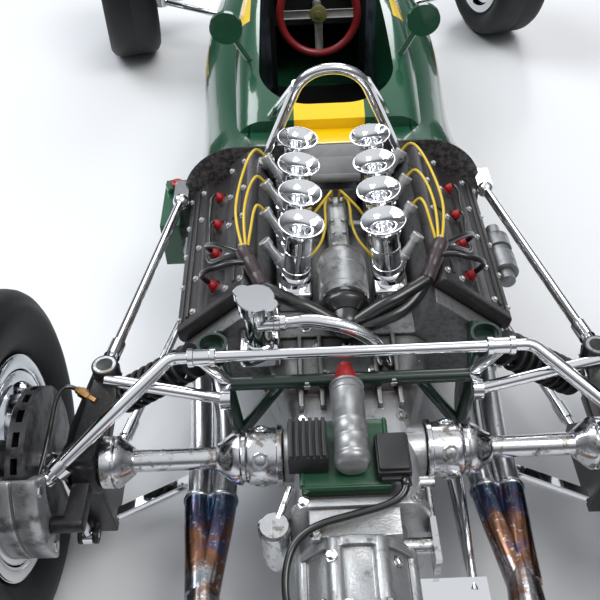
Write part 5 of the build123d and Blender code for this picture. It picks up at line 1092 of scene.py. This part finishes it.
def spokeAt(place, turnDeg):
    size = wheel
    arm = blockHere(Vector(size["spokeLow"]) * mm, Vector(size["spokeHigh"]) * mm, 0)
    pick(arm)
    bpy.ops.object.mode_set(mode="EDIT")
    bpy.ops.mesh.select_all(action="DESELECT")
    bpy.ops.object.mode_set(mode="OBJECT")
    for face in arm.data.polygons:
        face.select = abs(face.normal.x) > 0.9
    bpy.ops.object.mode_set(mode="EDIT")
    bpy.ops.mesh.inset(thickness=size["spokeInset"] * mm, depth=size["spokeDepth"] * mm, use_individual=True)
    bpy.ops.object.mode_set(mode="OBJECT")
    applied(arm, "BEVEL", {"width": size["spokeEdge"] * mm, "segments": 2, "limit_method": "ANGLE"})
    arm.matrix_world = place @ Matrix.Rotation(math.radians(turnDeg), 4, "X")
    return arm


def makeWheel():
    size = wheel
    axis = Vector(size["axis"]).normalized()
    across = Vector((1, 0, 0))
    place = Matrix((axis, across, across.cross(axis))).transposed().to_4x4()
    place.translation = spot(*size["centre"])
    ring = []
    for index in range(size["rimSides"]):
        turn = 2 * math.pi * index / size["rimSides"]
        ring.append((size["rimRadius"] * math.cos(turn), size["rimMiddle"] + size["rimRadius"] * math.sin(turn)))
    rim = latheHere(ring + ring[:1], 96)
    spokes = [spokeAt(place, turnDeg) for turnDeg in size["spokeDeg"]]
    hub, boss, column = latheHere(size["hub"], 48), latheHere(size["boss"], 6), latheHere(size["column"], 24)
    for piece in (rim, hub, boss, column):
        piece.matrix_world = place
    body = "steering_column"
    present([rim], "wheel_rim", "wheelRed", body=body, instead="steering_wheel")
    present(spokes + [column], "wheel_spokes", "spokeGrey", 30.0, body)
    present([hub, boss], "wheel_hub", "hubOlive", 30.0, body)


makeWheel()
print("steering wheel made")

# anti-roll bar with its clamps
rollBar = {
    "corner": (28.0, 8.5, 42.95), "collar": (45.0, -4.4, 34.0), "stub": 3.0, "radius": 1.12, "innerX": 12.0,
    "bend": (9.0, 2.6), "shares": (1.0, 1.0, 1.0, 0.95, 0.88, 0.82, 0.8),
    "clampX": 23.1, "legTo": (20.0, 9.5, 36.1), "legRadius": 0.95, "legDown": 0.9,
    "clamp": ((-2.2, 0.8), (-2.2, 1.35), (-2.1, 1.5), (-1.3, 1.5), (-1.2, 1.3), (1.2, 1.3), (1.3, 1.5), (2.1, 1.5),
              (2.2, 1.35), (2.2, 0.8), (-2.2, 0.8)),
    "nub": ((-0.1, 0.0), (-0.1, 1.35), (0.1, 1.45), (0.8, 1.45), (1.0, 1.3), (1.0, 0.0)),
}


def makeRollBar():
    size = rollBar
    corner, collar = Vector(size["corner"]), Vector(size["collar"])
    along = (collar - corner).normalized()
    end = collar + along * size["stub"]
    outerBend, innerBend = size["bend"]
    arm = [end, collar, corner + along * outerBend, corner + along * innerBend, corner]
    inward = [(corner.x - innerBend, corner.y, corner.z), (size["innerX"], corner.y, corner.z)]
    right = [tuple(point) for point in arm] + inward
    route = right + [(-x, y, z) for x, y, z in reversed(right)]
    built = [routeHere(route, size["radius"], 1, 8, 12, size["shares"] + size["shares"][::-1])]
    for sign in signs:
        clamp = latheHere(size["clamp"], 32)
        clamp.location = spot(sign * size["clampX"], corner.y, corner.z)
        leg = spot(sign * size["clampX"], corner.y, corner.z - size["legDown"])
        foot = sideSpot(sign, size["legTo"])
        long = (foot - leg).length / mm
        radius = size["legRadius"]
        strut = turned(((0.0, 0.0), (0.0, radius), (long, radius), (long, 0.0)), 24, leg, foot - leg)
        nub = turned(size["nub"], 32, sideSpot(sign, end - along), (sign * along.x, along.y, along.z))
        built += [clamp, strut, nub]
    present(built, "roll_bar_tube", "chromePlating", instead="anti_roll_bar")


makeRollBar()

# fittings at the rear uprights
uprights = {
    "top": (38.5, 9.0, 41.68), "ringDown": 0.35, "boltX": 46.2, "boltsYZ": ((-10.2, 36.3), (-12.3, 24.6)),
    "ring": ((-0.3, 0.9), (-0.3, 1.85), (0.25, 1.9), (0.4, 1.75), (0.4, 1.3), (0.2, 1.2), (0.2, 0.9), (-0.3, 0.9)),
    "dome": ((-0.4, 0.0), (-0.4, 1.15), (-0.1, 1.2), (0.0, 0.95), (0.05, 0.6), (0.05, 0.0)),
    "bolt": ((-0.9, 0.0), (-0.9, 0.9), (0.3, 0.9), (0.4, 0.75), (0.4, 0.0)),
    "unionFrom": (40.3, 4.9, 38.3), "unionTo": (43.3, 7.2, 38.1),
    "union": ((-0.8, 0.0), (-0.8, 0.6), (0.6, 0.6), (0.7, 0.85), (2.9, 0.85), (3.0, 0.65), (3.7, 0.6), (3.8, 0.4),
              (3.8, 0.0)),
    "hoseRadius": 0.36,
    "hose": ((43.1, 7.0, 38.1), (44.6, 8.0, 38.6), (46.0, 5.4, 38.9), (46.1, 0.0, 38.0), (46.6, -5.4, 36.4),
             (47.6, -8.6, 34.6)),
}


def makeUprightTrim():
    size = uprights
    x, y, z = size["top"]
    rings = setOut(size["ring"], 40, [(spot(sign * x, y, z - size["ringDown"]), upward) for sign in signs])
    rings += setOut(size["bolt"], 6, [
        (spot(sign * size["boltX"], *place), (-sign, 0, 0)) for sign in signs for place in size["boltsYZ"]])
    domes = setOut(size["dome"], 6, [(spot(sign * x, y, z), upward) for sign in signs])
    unions = []
    for sign in signs:
        start = sideSpot(sign, size["unionFrom"])
        unions.append((start, sideSpot(sign, size["unionTo"]) - start))
    fittings = setOut(size["union"], 6, unions)
    hoses = [routeHere(size["hose"], size["hoseRadius"], sign, 4) for sign in signs]
    present(rings, "upright_rings", "wornPlating", 30.0)
    present(domes, "upright_nuts", "satinBlack", 30.0)
    present(fittings, "brake_unions", "brassFitting", 30.0)
    present(hoses, "brake_hoses", "hoseBlack", 30.0)


makeUprightTrim()
print("roll bar and upright fittings made")

# bolts on the gearbox and engine, set down on the casting under each place
castingBolts = {
    "bolt": ((-0.6, 0.0), (-0.6, 0.95), (0.12, 0.95), (0.15, 0.68), (0.62, 0.68), (0.74, 0.52), (0.74, 0.0)),
    "dropFrom": 70.0, "flat": 0.5,
    "places": {
        "gearbox": ((8.2, -12.0), (8.2, -14.4), (6.0, -27.0), (2.6, -27.6), (7.8, 3.4), (9.4, 17.5), (5.0, 18.2),
                    (0.0, 18.4), (4.6, -20.4), (6.6, -17.0), (7.0, 9.0), (4.0, 13.0)),
        "engine_block": ((12.6, 22.0), (3.0, 64.0), (6.8, 22.4)),
    },
}


def makeCastingBolts():
    size = castingBolts
    found = []
    for node, places in size["places"].items():
        mesh = nodes[node].data
        tree = BVHTree.FromPolygons([v.co for v in mesh.vertices], [p.vertices[:] for p in mesh.polygons])
        for x, y in places:
            for sign in (signs if x else (1,)):
                where, normal, _, _ = tree.ray_cast(spot(sign * x, y, size["dropFrom"]), Vector((0, 0, -1)))
                if where and normal.z > size["flat"]:
                    found.append((where, normal))
    present(setOut(size["bolt"], 6, found), "casting_bolts", "wornPlating", 30.0)
    print("bolts set on castings:", len(found))


makeCastingBolts()

# driveshafts with rounded joints, and stepped rings on the inner rim faces
shafts = {
    "startX": 11.25, "axleZ": 28.4, "capX": 14.7, "capDeg": (45.0, 135.0, 225.0, 315.0),
    "shaft": (
        (0.0, 0.0), (0.0, 4.7), (0.15, 4.88), (0.8, 4.88), (0.95, 4.6), (1.0, 4.45), (4.6, 4.45), (5.2, 4.4),
        (5.65, 4.2), (5.9, 3.95), (6.4, 3.95), (6.45, 4.35), (6.7, 4.48), (7.2, 4.36), (8.2, 3.85), (9.2, 3.05),
        (9.9, 2.5), (10.3, 2.35), (10.5, 1.85), (10.6, 1.75), (23.6, 1.75), (23.7, 2.3), (24.0, 2.5), (25.0, 3.3),
        (25.8, 4.0), (26.2, 4.18), (26.3, 3.7), (26.7, 3.7), (26.75, 4.1), (26.9, 4.18), (28.45, 4.18),
        (28.68, 4.0), (28.68, 2.0), (55.95, 2.0), (55.95, 0.0)),
    "cap": ((3.6, 0.0), (3.6, 1.35), (4.5, 1.35), (4.6, 1.25), (4.6, 0.85), (4.75, 0.8), (4.8, 0.65), (4.8, 0.0)),
}
rimRings = {
    "faceX": 53.0,
    "profiles": (
        ((0.0, 15.9), (-0.22, 16.0), (-0.3, 16.3), (-0.3, 17.3), (-0.2, 17.6), (0.05, 17.7), (0.3, 17.7),
         (0.3, 15.9), (0.0, 15.9)),
        ((0.05, 13.4), (-0.14, 13.5), (-0.2, 13.8), (-0.2, 14.9), (-0.1, 15.1), (0.05, 15.2), (0.3, 15.2),
         (0.3, 13.4), (0.05, 13.4)),
    ),
}


def makeShafts():
    size = shafts
    outs = [Vector((0, math.cos(math.radians(turn)), math.sin(math.radians(turn)))) for turn in size["capDeg"]]
    for side, sign in sides:
        shaft = turned(size["shaft"], 56, spot(sign * size["startX"], 0, size["axleZ"]), (sign, 0, 0))
        middle = spot(sign * size["capX"], 0, size["axleZ"])
        caps = setOut(size["cap"], 24, [(middle, out) for out in outs])
        body = "rear_wheel_" + side
        present([shaft] + caps, "drive_shaft_" + side, "wornPlating", 35.0, body,
                "driveshaft_" + side)
        face = spot(sign * rimRings["faceX"], 0, size["axleZ"])
        rings = [turned(profile, 96, face, (sign, 0, 0)) for profile in rimRings["profiles"]]
        present(rings, "rim_rings_" + side, "chromePlating", 35.0, body)


makeShafts()
print("driveshafts made")

# sloping plate at the front of the vee; its lengths count from the rear edge
vPlate = {
    "rear": (0.0, 56.4, 41.25), "slopeDeg": 9.0, "thick": 0.5, "edge": 0.18,
    "leaves": ((9.4, 5.5, 9.45), (5.0, 0.0, 5.9)),
    "rib": ((-5.2, 0.0), (-5.2, 0.75), (-5.0, 0.85), (5.0, 0.85), (5.2, 0.75), (5.2, 0.0)), "ribUp": 0.05,
    "bolt": ((-0.6, 0.0), (-0.6, 0.5), (0.25, 0.5), (0.32, 0.36), (0.32, 0.0)), "boltX": 8.4, "boltY": (6.6, 8.6),
}


def makeVPlate():
    size = vPlate
    rear = spot(*size["rear"])
    pivot = Matrix.Translation(rear) @ Matrix.Rotation(math.radians(size["slopeDeg"]), 4, "X")
    upright = Matrix.Rotation(-math.pi / 2, 4, "Y")
    built = []
    for half, y0, y1 in size["leaves"]:
        leaf = blockHere(Vector((-half, y0, 0.0)) * mm, Vector((half, y1, size["thick"])) * mm, size["edge"], 3)
        leaf.matrix_world = pivot
        built.append(leaf)
    rib = latheHere(size["rib"], 24)
    rib.location = rear + Vector((0, 0, size["ribUp"])) * mm
    built.append(rib)
    for sign in signs:
        for y in size["boltY"]:
            bolt = latheHere(size["bolt"], 12)
            seat = Matrix.Translation(Vector((sign * size["boltX"], y, size["thick"])) * mm)
            bolt.matrix_world = pivot @ seat @ upright
            built.append(bolt)
    present(built, "valley_plate", "satinGrey", 30.0)


makeVPlate()

table = {"wide": 3.0, "middle": (0, 0.4, 0), "pale": rgb(0.80, 0.81, 0.83)}


def makeStage():
    clearSelection()
    bpy.ops.mesh.primitive_plane_add(size=table["wide"], location=table["middle"])
    floor = bpy.context.object
    floor.name = "paleTable"
    finish("paleTable", {"Roughness": 0.32, "Base Color": table["pale"]})
    wear(floor, "paleTable")


makeStage()

cameraSet = {"place": (-6.978, -77.476, 137.249), "turnDeg": (46.0354, 1.8584, -1.4305), "lens": 49.44}


def makeCamera():
    data = bpy.data.cameras.new("photoCamera")
    data.lens = cameraSet["lens"]
    data.sensor_width = 36.0
    data.clip_start = 0.005
    camera = bpy.data.objects.new("photoCamera", data)
    bpy.context.scene.collection.objects.link(camera)
    camera.location = spot(*cameraSet["place"])
    camera.rotation_euler = [math.radians(v) for v in cameraSet["turnDeg"]]
    bpy.context.scene.camera = camera


makeCamera()

lamps = (
    # name, place in m, size in m, watts, colour
    ("windowLight", (-0.55, 0.35, 0.75), 0.55, 5.4, (0.93, 0.97, 1.0)),
    ("ceilingLight", (0.35, -0.25, 0.90), 0.45, 3.8, (1.0, 0.98, 0.95)),
    ("farLight", (0.10, 0.95, 0.55), 0.50, 2.8, (0.97, 0.98, 1.0)),
)


def makeLamps():
    for name, place, size, watts, colour in lamps:
        data = bpy.data.lights.new(name, "AREA")
        data.energy = watts
        data.size = size
        data.color = colour
        lamp = bpy.data.objects.new(name, data)
        lamp.location = place
        lamp.rotation_euler = (-Vector(place)).to_track_quat("-Z", "Y").to_euler()
        bpy.context.scene.collection.objects.link(lamp)


makeLamps()

sky = {"strength": 0.9, "stops": (
    (0.0, rgb(0.34, 0.35, 0.37)), (0.30, rgb(0.10, 0.10, 0.11)), (0.55, rgb(0.30, 0.31, 0.33)),
    (0.75, rgb(0.78, 0.80, 0.83)), (1.0, rgb(0.88, 0.90, 0.92)))}


def makeSky():
    world = bpy.data.worlds.new("softRoom")
    bpy.context.scene.world = world
    world.use_nodes = True
    tree = world.node_tree
    background = tree.nodes["Background"]
    place = tree.nodes.new("ShaderNodeTexCoord")
    split = tree.nodes.new("ShaderNodeSeparateXYZ")
    ramp = tree.nodes.new("ShaderNodeValToRGB")
    setStops(ramp.color_ramp, sky["stops"])
    tree.links.new(place.outputs["Generated"], split.inputs["Vector"])
    tree.links.new(split.outputs["Z"], ramp.inputs["Fac"])
    tree.links.new(ramp.outputs["Color"], background.inputs["Color"])
    background.inputs["Strength"].default_value = sky["strength"]


makeSky()
bpy.context.scene.view_settings.view_transform = "Standard"
print("stage, camera and light made")
